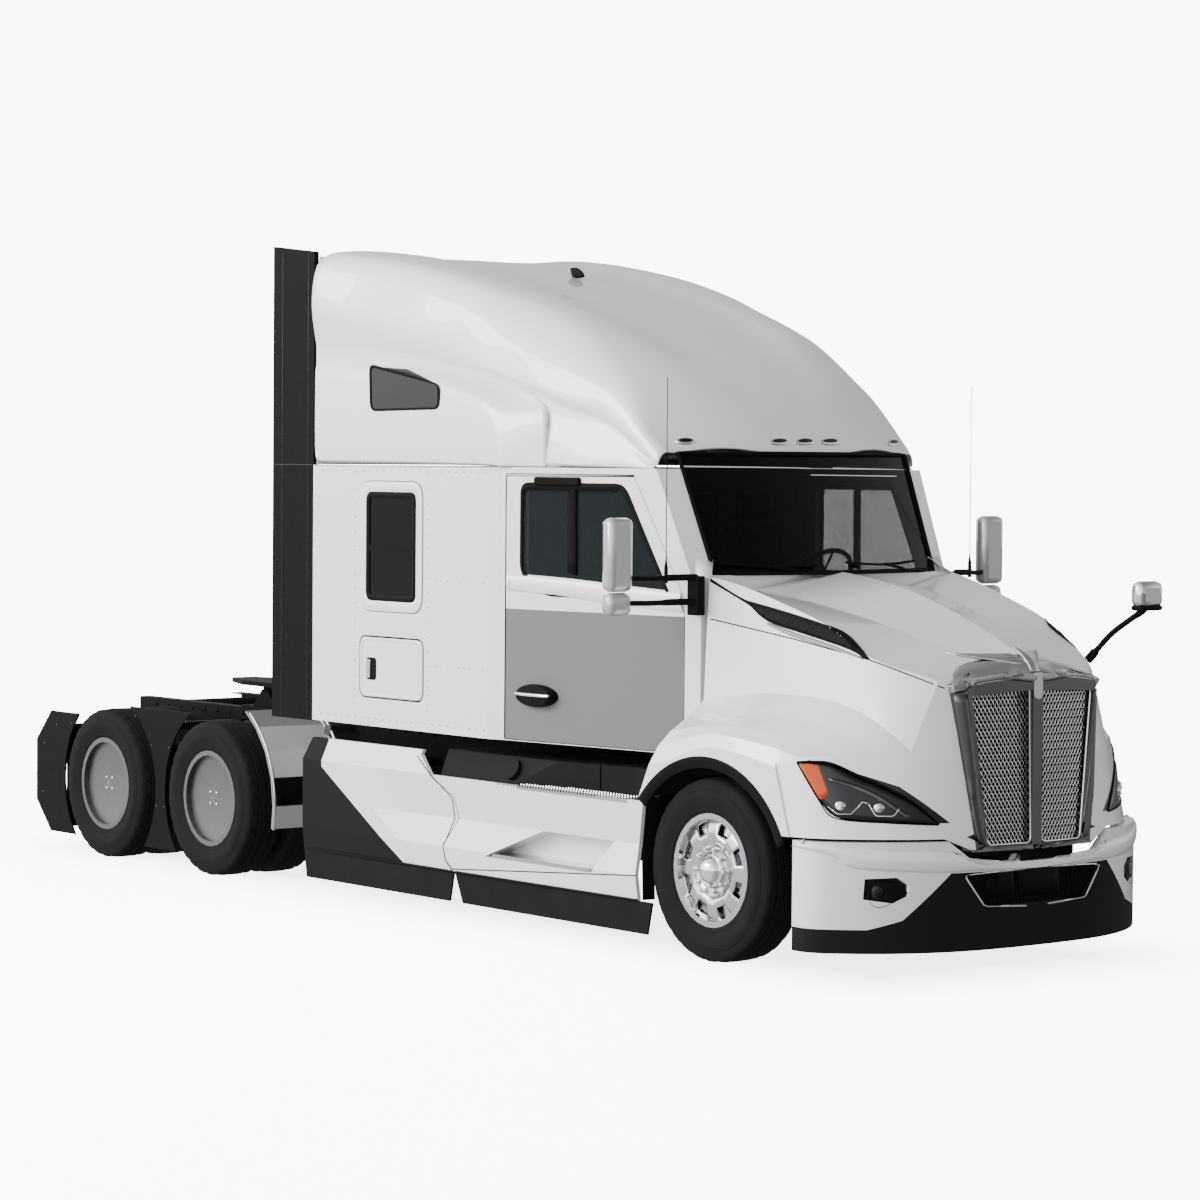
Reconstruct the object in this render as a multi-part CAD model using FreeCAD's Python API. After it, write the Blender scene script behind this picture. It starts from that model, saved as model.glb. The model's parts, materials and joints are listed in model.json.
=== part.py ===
import FreeCAD, Part
import math
import os

from FreeCAD import Vector

# All sizes are in millimetres. The tractor faces -Y, +X is its left side and +Z is up.
# The pieces are drawn with y = 0 at the front axle, and export() moves them so that the
# origin is on the ground below the middle of the vehicle's length.

# Driving sizes of the whole vehicle
body_width = 2438.0
front_overhang = 1350.0
wheelbase = 5690.0
bogie_spacing = 1320.0
rear_overhang = 1650.0
cab_floor_height = 1100.0
seam_height = 2690.0
roof_height = 4015.0
frame_height = 1030.0
fifth_wheel_rise = 185.0

# Clearances
overrun = 20.0
running_fit = 0.05
seat_gap = 0.3
panel_gap = 6.0

# Chassis
frame_width = 860.0
rail_depth = 270.0
rail_flange = 90.0
rail_web = 9.0
rail_front = 1120.0
rail_tail = 180.0
crossmember_size = 110.0
bracket_depth = 60.0
bracket_width = 50.0

# Wheels
tyre_radius = 507.0
tyre_width = 295.0
tyre_bead_radius = 292.0
tyre_bead_width = 222.0
bead_height = 24.0
tyre_bulge_radius = 400.0
tread_width = 216.0
wheel_sides = 30
shoulder_drop = 14.0
rim_flange_radius = 311.0
rim_width = 246.0
rim_wall = 12.0
front_rim_face = 1153.0
dual_spacing = 340.0
cover_recess = 43.0
cover_radius = 290.0
cover_thickness = 6.0
hub_radius = 95.0
disc_thickness = 16.0
hand_holes = 8
hand_hole_radius = 34.0
hand_hole_circle = 205.0
spindle_radius = 38.0
drive_spindle_radius = 52.0
kingpin_x = 880.0
kingpin_radius = 22.0
kingpin_eye = 40.0
kingpin_eye_height = 150.0
knuckle_lug = 40.0
backing_radius = 200.0
backing_thickness = 8.0

# Axles and springs
beam_height = 100.0
beam_width = 90.0
beam_drop = 75.0
axle_tube_radius = 70.0
banjo_radius = 205.0
banjo_width = 230.0
spring_x = 385.0
spring_width = 76.0
spring_thickness = 45.0
spring_span = 1400.0
spring_sag_share = 0.66
air_spring_radius = 130.0
air_spring_x = 440.0
arm_width = 90.0
arm_thickness = 50.0

# Cab and sleeper
wall = 60.0
door_thickness = 52.0
cowl_height = 2100.0
firewall_y = 330.0
cowl_half_width = 958.0
door_plane_end_x = 1190.0
door_plane_end_y = 1870.0
sleeper_start_y = 1960.0
cab_back = 3790.0
screen_base_y = 240.0
screen_bow = 276.0
screen_rake = 0.421
screen_low_z = cowl_height + 14.0
screen_top_z = seam_height + 84.0
screen_low_half = 833.0
screen_top_half = 864.0
glass = 8.0
glass_inset = 6.0
door_front_y = 445.0
door_rear_y = 1838.0
door_bottom_z = 1104.0
door_belt_z = cowl_height - 140.0
door_shoulder_y = 835.0
door_top_z = seam_height - 35.0
roof_wall = 40.0

# Hood
hood_rear_y = 300.0
hood_wall = 22.0
hood_bottom = 757.0
fender_foot_z = 880.0
hood_pivot_y = -1330.0
hood_pivot_z = 640.0
arch_y = -22.0
arch_z = 405.0
arch_radius = 727.0
liner_gap = 38.0
liner_wall = 8.0
liner_inner_x = 520.0
liner_swing_x = 1005.0
liner_swing_y = 330.0

# Bumper
bumper_wall = 40.0
bumper_top = 745.0
bumper_centre_top = 616.0
bumper_rear_y = -750.0
valance_bottom = 160.0

half_width = body_width / 2
fifth_wheel_height = frame_height + fifth_wheel_rise
half_length = (front_overhang + wheelbase + rear_overhang) / 2
shift_y = front_overhang - half_length
frame_bottom = frame_height - rail_depth
rail_rear_y = wheelbase + rear_overhang - rail_tail
drive_axle_ys = (wheelbase - bogie_spacing / 2, wheelbase + bogie_spacing / 2)


def point(plane, a, b, level):
    """A point of a flat outline: plane names the axis that the outline is square to."""
    if plane == "x":
        return Vector(level, a, b)
    if plane == "y":
        return Vector(a, level, b)
    return Vector(a, b, level)


def closed_wire(points, plane, level):
    corners = [point(plane, a, b, level) for a, b in points]
    return Part.makePolygon(corners + corners[:1])


def rounded_wire(points, radius, plane, level):
    """A closed outline whose corners are arcs of one radius."""
    corners = [point(plane, a, b, level) for a, b in points]
    edges = []
    ends = []
    for i, corner in enumerate(corners):
        before = (corners[i - 1] - corner).normalize()
        after = (corners[(i + 1) % len(corners)] - corner).normalize()
        half = before.getAngle(after) / 2
        reach = radius / math.tan(half)
        middle = (before + after).normalize()
        start = corner + before * reach
        finish = corner + after * reach
        crest = corner + middle * (radius / math.sin(half) - radius)
        ends.append((start, finish))
        edges.append(Part.Arc(start, crest, finish).toShape())
    sides = []
    for i, arc in enumerate(edges):
        sides.append(arc)
        sides.append(Part.LineSegment(ends[i][1], ends[(i + 1) % len(ends)][0]).toShape())
    return Part.Wire(sides)


def slab(points, plane, low, high, radius=0):
    """A flat outline made solid between two levels of its plane's axis."""
    if radius:
        wire = rounded_wire(points, radius, plane, low)
    else:
        wire = closed_wire(points, plane, low)
    return Part.Face(wire).extrude(point(plane, 0, 0, high - low))


def block(x0, x1, y0, y1, z0, z1):
    return Part.makeBox(x1 - x0, y1 - y0, z1 - z0, Vector(x0, y0, z0))


def rod_x(radius, x0, x1, y, z):
    return Part.makeCylinder(radius, x1 - x0, Vector(x0, y, z), Vector(1, 0, 0))


def rod_y(radius, x, y0, y1, z):
    return Part.makeCylinder(radius, y1 - y0, Vector(x, y0, z), Vector(0, 1, 0))


def rod_z(radius, x, y, z0, z1):
    return Part.makeCylinder(radius, z1 - z0, Vector(x, y, z0), Vector(0, 0, 1))


upright_share = 0.99


def bar(radius, start, finish, sides=8):
    """A many-sided rod between two points."""
    along = finish - start
    side = Vector(1, 0, 0)
    if abs(along.z) < along.Length * upright_share:
        side = along.cross(Vector(0, 0, 1)).normalize()
    up = side.cross(along).normalize()
    corners = []
    for i in range(sides):
        a = 2 * math.pi * (i + 0.5) / sides
        corners.append(start + side * (radius * math.cos(a)) + up * (radius * math.sin(a)))
    return Part.Face(Part.makePolygon(corners + corners[:1])).extrude(along)


def faceted(outlines):
    """A solid with flat triangles between outlines of the same number of points."""
    faces = [Part.Face(Part.makePolygon(ring + ring[:1])) for ring in (outlines[0], outlines[-1])]
    for before, after in zip(outlines, outlines[1:]):
        for i, corner in enumerate(before):
            j = (i + 1) % len(before)
            faces.append(flat_face([corner, before[j], after[j]]))
            faces.append(flat_face([corner, after[j], after[i]]))
    solid = Part.makeSolid(Part.makeShell(faces))
    if solid.Volume < 0:
        solid.reverse()
    return solid


def spline(points):
    curve = Part.BSplineCurve()
    curve.interpolate(points)
    return curve.toShape()


def fuse(shapes):
    result = shapes[0].fuse(shapes[1:])
    return result.removeSplitter()


def mirrored(shape):
    return shape.mirror(Vector(0, 0, 0), Vector(1, 0, 0))


def pair(shape):
    """The piece of the left side with its twin on the right."""
    return Part.makeCompound([shape, mirrored(shape)])


def many_sided(radius, x):
    """The corners of a ring square to the axle, with one flat of its many sides towards the ground."""
    reach = radius / math.cos(math.pi / wheel_sides)
    corners = []
    for i in range(wheel_sides + 1):
        a = 2 * math.pi * (i + 0.5) / wheel_sides
        corners.append(Vector(x, reach * math.sin(a), -reach * math.cos(a)))
    return corners


def flat_face(corners):
    return Part.Face(Part.makePolygon(corners + corners[:1]))


def wheel_ring(profile, bore):
    """A many-sided wheel part: profile points are x and radius, from one side to the other."""
    closed = list(profile)
    if bore:
        closed += [(profile[-1][0], bore), (profile[0][0], bore), profile[0]]
    rings = [many_sided(radius, x) for x, radius in closed]
    faces = []
    if not bore:
        faces = [Part.Face(Part.makePolygon(rings[0])), Part.Face(Part.makePolygon(rings[-1]))]
    for before, after in zip(rings, rings[1:]):
        for i in range(wheel_sides):
            faces.append(flat_face([before[i], before[i + 1], after[i + 1], after[i]]))
    solid = Part.makeSolid(Part.makeShell(faces))
    if solid.Volume < 0:
        solid.reverse()
    return solid


def turned(profile, y, z):
    """A ring or disc round an axle: profile points are x and radius."""
    face = Part.Face(Part.makePolygon([Vector(x, 0, r) for x, r in profile + profile[:1]]))
    solid = face.revolve(Vector(0, 0, 0), Vector(1, 0, 0), 360)
    solid.translate(Vector(0, y, z))
    return solid


def export(name, shape):
    moved = shape.copy()
    moved.translate(Vector(0, shift_y, 0))
    moved.exportStep("parts/" + name + ".step")


# Chassis


def channel(side):
    """One frame rail, a channel open towards the middle."""
    outer = frame_width / 2
    inner = outer - rail_flange
    rail = block(inner, outer, -rail_front, rail_rear_y, frame_bottom, frame_height)
    hollow = block(inner - overrun, outer - rail_web, -rail_front - overrun, rail_rear_y + overrun,
                   frame_bottom + rail_web, frame_height - rail_web)
    rail = rail.cut(hollow)
    return rail if side > 0 else mirrored(rail)


def fairing_bracket(y):
    """An outrigger that carries the side fairing."""
    z = frame_height - rail_web - bracket_depth * 4
    arm = block(frame_width / 2, half_width, y, y + bracket_width, z, z + bracket_depth)
    return arm.cut(beyond_skin(plain_heights, seat_gap))


def bumper_arm():
    """The arm below a rail's front end that carries the bumper."""
    outline = [(-front_overhang, arm_low), (-front_overhang, bumper_centre_top - panel_gap),
               (-rail_front - arm_step, bumper_centre_top - panel_gap), (-rail_front, frame_bottom),
               (-rail_front + arm_run, frame_bottom), (-rail_front + arm_run, frame_bottom - bracket_depth)]
    arm = slab(outline, "x", frame_width / 2 - rail_flange, frame_width / 2)
    return arm.common(bumper_plan(bumper_wall).extrude(Vector(0, 0, frame_height)).fuse(
        block(0, half_width, bumper_rear_y - overrun, 0, 0, frame_height)))


arm_low = 480.0
arm_step = 60.0
arm_run = 320.0


def frame_rails():
    return Part.makeCompound([channel(1), channel(-1)])


def crossmembers():
    """What the rails carry between, beside and ahead of them, each a solid of its own."""
    half = frame_width / 2 - rail_web
    radius = crossmember_size / 2
    front_y = radiator_front_y + radiator_depth / 2
    places = [(front_y, frame_bottom + rail_web + radius)]
    places += [(y, frame_height - rail_web - radius) for y in crossmember_ys]
    pieces = [bumper_arm(), mirrored(bumper_arm())]
    for y, z in places:
        pieces.append(bar(radius, Vector(-half, y, z), Vector(half, y, z), 12))
    for y in bracket_ys:
        pieces.append(fairing_bracket(y))
        pieces.append(mirrored(fairing_bracket(y)))
    return Part.makeCompound(pieces)


crossmember_shares = (0.19, 0.33, 0.56, 0.76, 0.95)
crossmember_ys = [share * rail_rear_y for share in crossmember_shares]

bracket_ys = (2960.0, 3560.0)


def beam_section(drop):
    """Front axle beam: eyes at the kingpins and a dropped middle, seen from the front."""
    eye = kingpin_x - kingpin_eye
    bend = spring_x + spring_width
    half = beam_height / 2
    z = tyre_radius
    return [(-eye, z + half), (-bend, z + half - drop), (bend, z + half - drop), (eye, z + half),
            (eye, z - half), (bend, z - half - drop), (-bend, z - half - drop), (-eye, z - half)]


def front_axle_beam():
    beam = slab(beam_section(beam_drop), "y", -beam_width / 2, beam_width / 2)
    pieces = [beam]
    seat_z = tyre_radius + beam_height / 2 - beam_drop
    for side in (1, -1):
        reach = Vector(0, 0, kingpin_eye_height / 2)
        centre = Vector(side * kingpin_x, 0, tyre_radius)
        eye = bar(kingpin_eye, centre - reach, centre + reach, 16)
        pieces.append(eye)
        x = side * spring_x
        pieces.append(block(x - spring_width / 2, x + spring_width / 2, -beam_width, beam_width,
                            seat_z - overrun, spring_low_z))
    solid = fuse(pieces)
    for side in (1, -1):
        bore = rod_z(kingpin_radius + running_fit, side * kingpin_x, 0, tyre_radius - kingpin_eye_height,
                     tyre_radius + kingpin_eye_height)
        solid = solid.cut(bore)
    return solid


spring_low_z = tyre_radius + beam_height / 2 - beam_drop + overrun
spring_sag = (frame_bottom - spring_low_z) * spring_sag_share


def leaf_spring(x):
    """One front spring with the hangers that reach the rail."""
    low = spring_low_z
    end = spring_span / 2
    bottom = Part.Arc(Vector(x, -end, low + spring_sag), Vector(x, 0, low), Vector(x, end, low + spring_sag))
    top = Part.Arc(Vector(x, end, low + spring_sag + spring_thickness), Vector(x, 0, low + spring_thickness),
                   Vector(x, -end, low + spring_sag + spring_thickness))
    ends = [Part.LineSegment(Vector(x, end, low + spring_sag), top.StartPoint),
            Part.LineSegment(top.EndPoint, Vector(x, -end, low + spring_sag))]
    wire = Part.Wire([bottom.toShape(), ends[0].toShape(), top.toShape(), ends[1].toShape()])
    leaf = Part.Face(wire).extrude(Vector(spring_width, 0, 0))
    leaf.translate(Vector(-spring_width / 2, 0, 0))
    pieces = [leaf]
    for y in (-end, end - spring_width):
        pieces.append(block(x - spring_width / 2, x + spring_width / 2, y, y + spring_width,
                            low + spring_sag, frame_bottom))
    return fuse(pieces)


def drive_axle(y):
    reach = half_width - cover_recess * 2
    z = tyre_radius
    tube = bar(axle_tube_radius, Vector(-axle_end_x, y, z), Vector(axle_end_x, y, z), 12)
    banjo = bar(banjo_radius, Vector(0, y - banjo_width / 2, z), Vector(0, y + banjo_width / 2, z), 16)
    stubs = [rod_x(drive_spindle_radius, axle_end_x - overrun, reach, y, z)]
    stubs.append(mirrored(stubs[0]))
    return fuse([tube, banjo] + stubs)


axle_end_x = half_width - tyre_width - dual_spacing - disc_thickness


def suspension_arm(y, x):
    """A trailing arm with its air spring and the hanger ahead of it."""
    hanger_y = y - bogie_spacing / 2 + arm_width
    low = tyre_radius + axle_tube_radius
    arm = block(x - arm_width / 2, x + arm_width / 2, hanger_y, y + arm_reach, low, low + arm_thickness)
    hanger = block(x - arm_width / 2, x + arm_width / 2, hanger_y, hanger_y + arm_width,
                   low, frame_bottom)
    bag_y = y + arm_reach - air_spring_radius
    bag = bar(air_spring_radius, Vector(x, bag_y, low + arm_thickness), Vector(x, bag_y, frame_bottom), 16)
    return fuse([arm, hanger, bag])


arm_reach = 360.0


def suspension():
    pieces = [leaf_spring(spring_x), leaf_spring(-spring_x)]
    for y in drive_axle_ys:
        for side in (1, -1):
            pieces.append(suspension_arm(y, side * suspension_x))
    return Part.makeCompound(pieces)


suspension_x = frame_width / 2 - rail_flange / 2

# Engine, gearbox and drive shaft
engine_half = 300.0
engine_front_y = -940.0
engine_rear_y = 240.0
engine_low = 600.0
engine_top = 1500.0
gearbox_length = 850.0
gearbox_radius = 240.0
shaft_radius = 62.0
shaft_z = 640.0
radiator_half = 400.0
radiator_front_y = -1105.0
radiator_depth = 110.0
gearbox_z = frame_bottom + 90.0
radiator_low = frame_bottom + rail_web + crossmember_size + seat_gap
radiator_top = 1440.0


def engine_block():
    return block(-engine_half, engine_half, engine_front_y, engine_rear_y, engine_low, engine_top)


def driveline():
    """The gearbox, its bell housing and the shaft to the first drive axle."""
    bell_end = Vector(0, engine_rear_y + bell_length, gearbox_z)
    bell = Part.makeCone(engine_half, gearbox_radius, bell_length, Vector(0, engine_rear_y, gearbox_z),
                         Vector(0, 1, 0))
    start = Vector(0, engine_rear_y + gearbox_length, gearbox_z)
    case = bar(gearbox_radius, bell_end, start, 12)
    finish = Vector(0, drive_axle_ys[0] - banjo_width / 2, shaft_z)
    shaft = bar(shaft_radius, start, finish, 12)
    second = Vector(0, drive_axle_ys[0] + banjo_width / 2, tyre_radius)
    third = Vector(0, drive_axle_ys[1] - banjo_width / 2, tyre_radius)
    keep = block(-engine_half, engine_half, 0, drive_axle_ys[0] - banjo_width / 2, 0, frame_height)
    return Part.makeCompound([fuse([bell, case, shaft]).common(keep), bar(shaft_radius, second, third, 12)])


bell_length = 180.0


def radiator():
    narrow = frame_width / 2 - rail_flange - panel_gap
    rear = radiator_front_y + radiator_depth
    core = block(-narrow, narrow, radiator_front_y, rear, radiator_low, radiator_top)
    tanks = block(-radiator_half, radiator_half, radiator_front_y, rear, frame_height, radiator_top)
    return fuse([core, tanks])


# Side fairings: heights as shares of the frame's height, and places along the side
fairing_wall = 25.0
fairing_top = frame_height * 0.956
crease_z = frame_height * 0.825
waist_z = frame_height * 0.583
ledge_z = frame_height * 0.417
fairing_low = frame_height * 0.279
rubber_low = frame_height * 0.104
rubber_thickness = 14.0
top_lean = 60.0
waist_depth = 34.0
foot_lean = 14.0
fairing_gap = 12.0
ledge_end_y = 2866.0
ledge_tip_y = 3124.0
fairing_rear_y = 3894.0
fairing_rear_top_y = 3700.0
fairing_front_low_y = 562.0
fairing_front_waist_y = 577.0
fairing_front_top_y = 505.0
tread_rear_y = 1665.0
tread_front_y = 645.0
seam_ys = (2545.0, 2675.0, 2495.0, 2298.0, 2267.0, 2386.0, 2370.0, 2288.0)
seam_z_shares = (0.972, 0.927, 0.813, 0.708, 0.591, 0.427, 0.350, 0.279)

# Fuel tank and battery box behind the fairing
tank_front_y = 1115.0
tank_rear_y = 2500.0
tank_inner_x = 500.0
tank_outer_x = 1150.0
tank_low = frame_height * 0.42
tank_top = frame_height * 0.97
tank_strap = 60.0
tank_bracket_shares = (0.2, 0.75)
box_front_y = 640.0
box_low = frame_height * 0.62
tread_inner_front_x = 1000.0
tread_inner_front_y = 860.0
cap_y = 1806.0
cap_radius = 62.0
cap_height = 55.0
cap_z = frame_height * 0.88


def skin_line(heights, inset):
    """The fairing's side in cross section, as x and z from its foot up, drawn in by inset."""
    line = []
    for depth, z in heights:
        line.append((half_width - depth - inset, z))
    return line


ledge_heights = ((foot_lean, fairing_low), (0, ledge_z), (waist_depth, waist_z), (0, crease_z), (top_lean, fairing_top))
plain_heights = ((foot_lean, fairing_low), (0, ledge_z), (0, waist_z), (0, crease_z), (top_lean, fairing_top))


def skin_outline(heights, y):
    """The closed cross section of the fairing's skin at one place along the side."""
    outer = skin_line(heights, 0)
    inner = skin_line(heights, fairing_wall)
    return [Vector(x, y, z) for x, z in outer + list(reversed(inner))]


def beyond_skin(heights, gap):
    """Everything outside the inner face of the fairing's skin, less a gap."""
    line = skin_line(heights, fairing_wall + gap)
    outline = line + [(half_width * 2, line[-1][1]), (half_width * 2, line[0][1])]
    return slab(outline, "y", 0, cab_back * 2)


def fairing_skin():
    """The skin along the whole side: its ledge runs out to a tip towards the rear."""
    places = ((ledge_heights, 0), (ledge_heights, ledge_end_y), (plain_heights, ledge_tip_y), (plain_heights, cab_back * 2))
    return faceted([skin_outline(heights, y) for heights, y in places])


def tread_line(gap):
    """From above, the space inside the upper tread's slanted inner edge."""
    slope = (tank_outer_x - tread_inner_front_x) / (tread_rear_y - tread_inner_front_y)
    far_x = tread_inner_front_x + slope * (tank_rear_y - tread_inner_front_y)
    return slab([(0, 0), (0, tank_rear_y), (far_x - gap, tank_rear_y), (tread_inner_front_x - gap, tread_inner_front_y),
                 (tread_inner_front_x - gap, 0)], "z", 0, roof_height)


def fuel_tank():
    """The black tank whose sloping shoulder carries the filler cap, with its brackets to the rail."""
    niche = half_width - niche_depth - fairing_wall - seat_gap
    shoulder = half_width - fairing_wall - waist_depth - seat_gap
    outline = [(tank_inner_x, tank_low), (niche, tank_low), (niche, waist_z + fairing_wall * 2),
               (shoulder, crease_z - fairing_wall * 2), (shoulder, crease_z),
               (shoulder - top_lean, tank_top), (tank_inner_x, tank_top)]
    tank = slab(outline, "y", tank_front_y, tank_rear_y).common(tread_line(panel_gap))
    cap_x = shoulder - top_lean
    axis = Vector(cap_height, 0, cap_height / 2)
    cap = bar(cap_radius, Vector(cap_x, cap_y, cap_z) - axis, Vector(cap_x, cap_y, cap_z) + axis, 16)
    pieces = [tank, cap]
    for share in tank_bracket_shares:
        y = tank_front_y + share * (tank_rear_y - tank_front_y)
        pieces.append(block(frame_width / 2, tank_inner_x + overrun, y, y + tank_strap, frame_bottom + tank_strap,
                            frame_bottom + tank_strap * 2))
    return fuse(pieces)


def battery_box():
    box = block(frame_width / 2, half_width, box_front_y, tank_front_y - fairing_gap, box_low, tank_top)
    return box.common(tread_line(panel_gap))


# Fifth wheel
plate_half = 457.0
plate_thickness = 30.0
plate_front = 420.0
plate_rear = 480.0
throat_half = 45.0
jaw_radius = 25.6
pivot_radius = 30.0
ear_thickness = 40.0
ear_x = 330.0
fifth_y = wheelbase - 60.0
fifth_pivot_z = fifth_wheel_height - 85.0
base_thickness = 16.0


def fifth_wheel_plate():
    """The coupling plate with its throat and the ears that rock on the pivot pins."""
    top = fifth_wheel_height
    low = top - plate_thickness
    half = plate_half
    front = fifth_y - plate_front
    rear = fifth_y + plate_rear
    corner = plate_half * plate_corner_share
    outline = [(-half + corner, front), (half - corner, front), (half, front + corner), (half, fifth_y + corner),
               (half * plate_tail_share, rear), (throat_mouth, rear), (throat_half, fifth_y + corner),
               (throat_half, jaw_end_y), (-throat_half, jaw_end_y), (-throat_half, fifth_y + corner),
               (-throat_mouth, rear), (-half * plate_tail_share, rear), (-half, fifth_y + corner),
               (-half, front + corner)]
    plate = slab(outline, "z", low, top)
    jaw = rod_z(jaw_block_radius, 0, fifth_y, low - jaw_depth, low)
    pieces = [plate, jaw]
    for side in (1, -1):
        x = side * ear_x
        ear = slab([(fifth_y - pivot_radius * 2, low), (fifth_y + pivot_radius * 2, low),
                    (fifth_y + pivot_radius * 1.2, fifth_pivot_z - pivot_radius * 1.5),
                    (fifth_y - pivot_radius * 1.2, fifth_pivot_z - pivot_radius * 1.5)],
                   "x", x - ear_thickness / 2, x + ear_thickness / 2)
        pieces.append(ear)
    solid = fuse(pieces)
    for side in (1, -1):
        x = side * ear_x
        solid = solid.cut(rod_x(pivot_radius + running_fit, x - ear_thickness, x + ear_thickness,
                                fifth_y, fifth_pivot_z))
    bore = rod_z(jaw_radius, 0, fifth_y, low - jaw_depth - overrun, top + overrun)
    return solid.cut(bore)


plate_corner_share = 0.35
plate_tail_share = 0.72
throat_mouth = 150.0
jaw_block_radius = 80.0
jaw_depth = 45.0
jaw_end_y = fifth_y + jaw_block_radius * 0.9


def fifth_wheel_base():
    """Side stands on a cross plate, with the pins that the coupling plate rocks on."""
    foot = block(-frame_width / 2, frame_width / 2, fifth_y - plate_front / 2, fifth_y + plate_front / 2,
                 frame_height, frame_height + base_thickness)
    pieces = [foot]
    for side in (1, -1):
        for offset in (-1, 1):
            x = side * ear_x + offset * (ear_thickness / 2 + stand_gap + stand_thickness / 2)
            stand = slab([(fifth_y - stand_half, frame_height), (fifth_y + stand_half, frame_height),
                          (fifth_y + pivot_radius, fifth_pivot_z + pivot_radius),
                          (fifth_y - pivot_radius, fifth_pivot_z + pivot_radius)],
                         "x", x - stand_thickness / 2, x + stand_thickness / 2)
            pieces.append(stand)
        reach = ear_thickness / 2 + stand_gap + stand_thickness
        pieces.append(rod_x(pivot_radius, side * ear_x - reach, side * ear_x + reach, fifth_y, fifth_pivot_z))
    return fuse(pieces)


stand_gap = 6.0
stand_thickness = 20.0
stand_half = 150.0

# Deck, quarter fenders, panels and lamps at the tail
deck_front_y = 4290.0
deck_rear_y = 4950.0
deck_thickness = 30.0
fender_plate = 12.0
panel_x = 1150.0


def deck_plate():
    deck = block(-frame_width / 2, frame_width / 2, deck_front_y, deck_rear_y, frame_height,
                 frame_height + deck_thickness)
    box = block(-deck_box_half, deck_box_half, deck_front_y + deck_thickness, deck_front_y + deck_box_depth,
                frame_height + deck_thickness, frame_height + deck_box_height)
    return fuse([deck, box])


deck_box_half = 330.0
deck_box_depth = 260.0
deck_box_height = 170.0


def quarter_fender():
    """The bright plate ahead of the first drive wheel, bent to follow the tyre."""
    y = drive_axle_ys[0]
    outer = fender_radius
    arc_outer = [(y - outer * math.cos(a), tyre_radius + outer * math.sin(a)) for a in fender_angles]
    inner = outer - fender_plate
    arc_inner = [(y - inner * math.cos(a), tyre_radius + inner * math.sin(a)) for a in reversed(fender_angles)]
    sheet = slab(arc_outer + arc_inner, "x", fender_inner_x, panel_x)
    arm = block(frame_width / 2, fender_inner_x + overrun, y - outer * 0.8, y - outer * 0.8 + bracket_width,
                frame_height - bracket_depth * 1.5, frame_height - bracket_depth * 0.5)
    return fuse([sheet, arm.cut(turned([(0, 0), (half_width, 0), (half_width, inner), (0, inner)], y, tyre_radius))])


fender_radius = 700.0
fender_inner_x = 600.0
fender_angles = [math.radians(a) for a in (-12.0, 0.0, 15.0, 30.0, 45.0, 58.0)]


def wheel_clear(y):
    """The round space that a panel leaves for a drive wheel."""
    return rod_x(panel_radius, 0, half_width, y, tyre_radius)


def wheel_panels():
    """The flat side plates between and behind the drive wheels, on their cross arms."""
    mid = wheelbase
    between = slab([(mid - panel_half, panel_low), (mid - panel_half, panel_high),
                    (mid + panel_half, panel_high), (mid + panel_half, panel_low)],
                   "x", panel_x, panel_x + panel_thickness)
    between = between.cut(wheel_clear(drive_axle_ys[0])).cut(wheel_clear(drive_axle_ys[1]))
    tail = wheelbase + rear_overhang
    front = drive_axle_ys[1] + panel_front
    rear = slab([(front, panel_low), (front, tail_panel_top), (tail - tail_slope, tail_panel_top),
                 (tail, tail_panel_top - tail_corner), (tail, panel_low + tail_corner), (tail - tail_slope, panel_low)],
                "x", panel_x, panel_x + panel_thickness)
    rear = rear.cut(wheel_clear(drive_axle_ys[1]))
    flap_y = drive_axle_ys[1] + panel_radius - overrun
    flap = block(panel_inner_x, panel_x, flap_y, flap_y + panel_thickness, flap_low, flap_high)
    z = frame_height - bracket_depth * 2
    arms = [block(frame_width / 2, panel_x, mid - bracket_width / 2, mid + bracket_width / 2, z, z + bracket_width),
            block(frame_width / 2, panel_x, flap_y + panel_thickness, flap_y + panel_thickness + bracket_width,
                  flap_high - bracket_width, flap_high)]
    pieces = [fuse([between, arms[0]]), fuse([rear, flap, arms[1]])]
    return Part.makeCompound([pair(piece) for piece in pieces])


panel_thickness = 12.0
panel_inner_x = 600.0
panel_radius = 600.0
panel_half = 394.0
panel_low = 115.0
panel_high = 1046.0
panel_front = 415.0
tail_panel_top = 955.0
tail_slope = 200.0
tail_corner = 210.0
flap_low = 160.0
flap_high = 870.0


def tail_lamps():
    """A cross bar at the rail ends with a lamp box at each side."""
    y = rail_rear_y
    bar = block(-tail_half, tail_half, y, y + tail_depth, frame_bottom + bracket_depth,
                frame_bottom + bracket_depth * 3)
    return bar


tail_half = 520.0
tail_depth = 110.0


# Wheels


def tyre(x):
    """A tyre centred at x on its axle line."""
    bead = tyre_bead_width / 2
    half = tyre_width / 2
    tread = tread_width / 2
    half_profile = [(bead, tyre_bead_radius + bead_height), (half, tyre_bulge_radius),
                    (tread + shoulder_drop, tyre_radius - shoulder_drop * 1.5), (tread, tyre_radius)]
    profile = [(x - dx, radius) for dx, radius in half_profile]
    profile += [(x + dx, radius) for dx, radius in reversed(half_profile)]
    return wheel_ring(profile, tyre_bead_radius)


def rim_barrel(x):
    """The rim ring that the tyre sits on, with a flange at each side."""
    half = rim_width / 2
    seat = tyre_bead_radius - seat_gap
    flange = tyre_bead_width / 2 + seat_gap
    profile = [(x - half, rim_flange_radius), (x - flange, rim_flange_radius), (x - flange, seat),
               (x + flange, seat), (x + flange, rim_flange_radius), (x + half, rim_flange_radius)]
    return wheel_ring(profile, seat - rim_wall)


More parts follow.
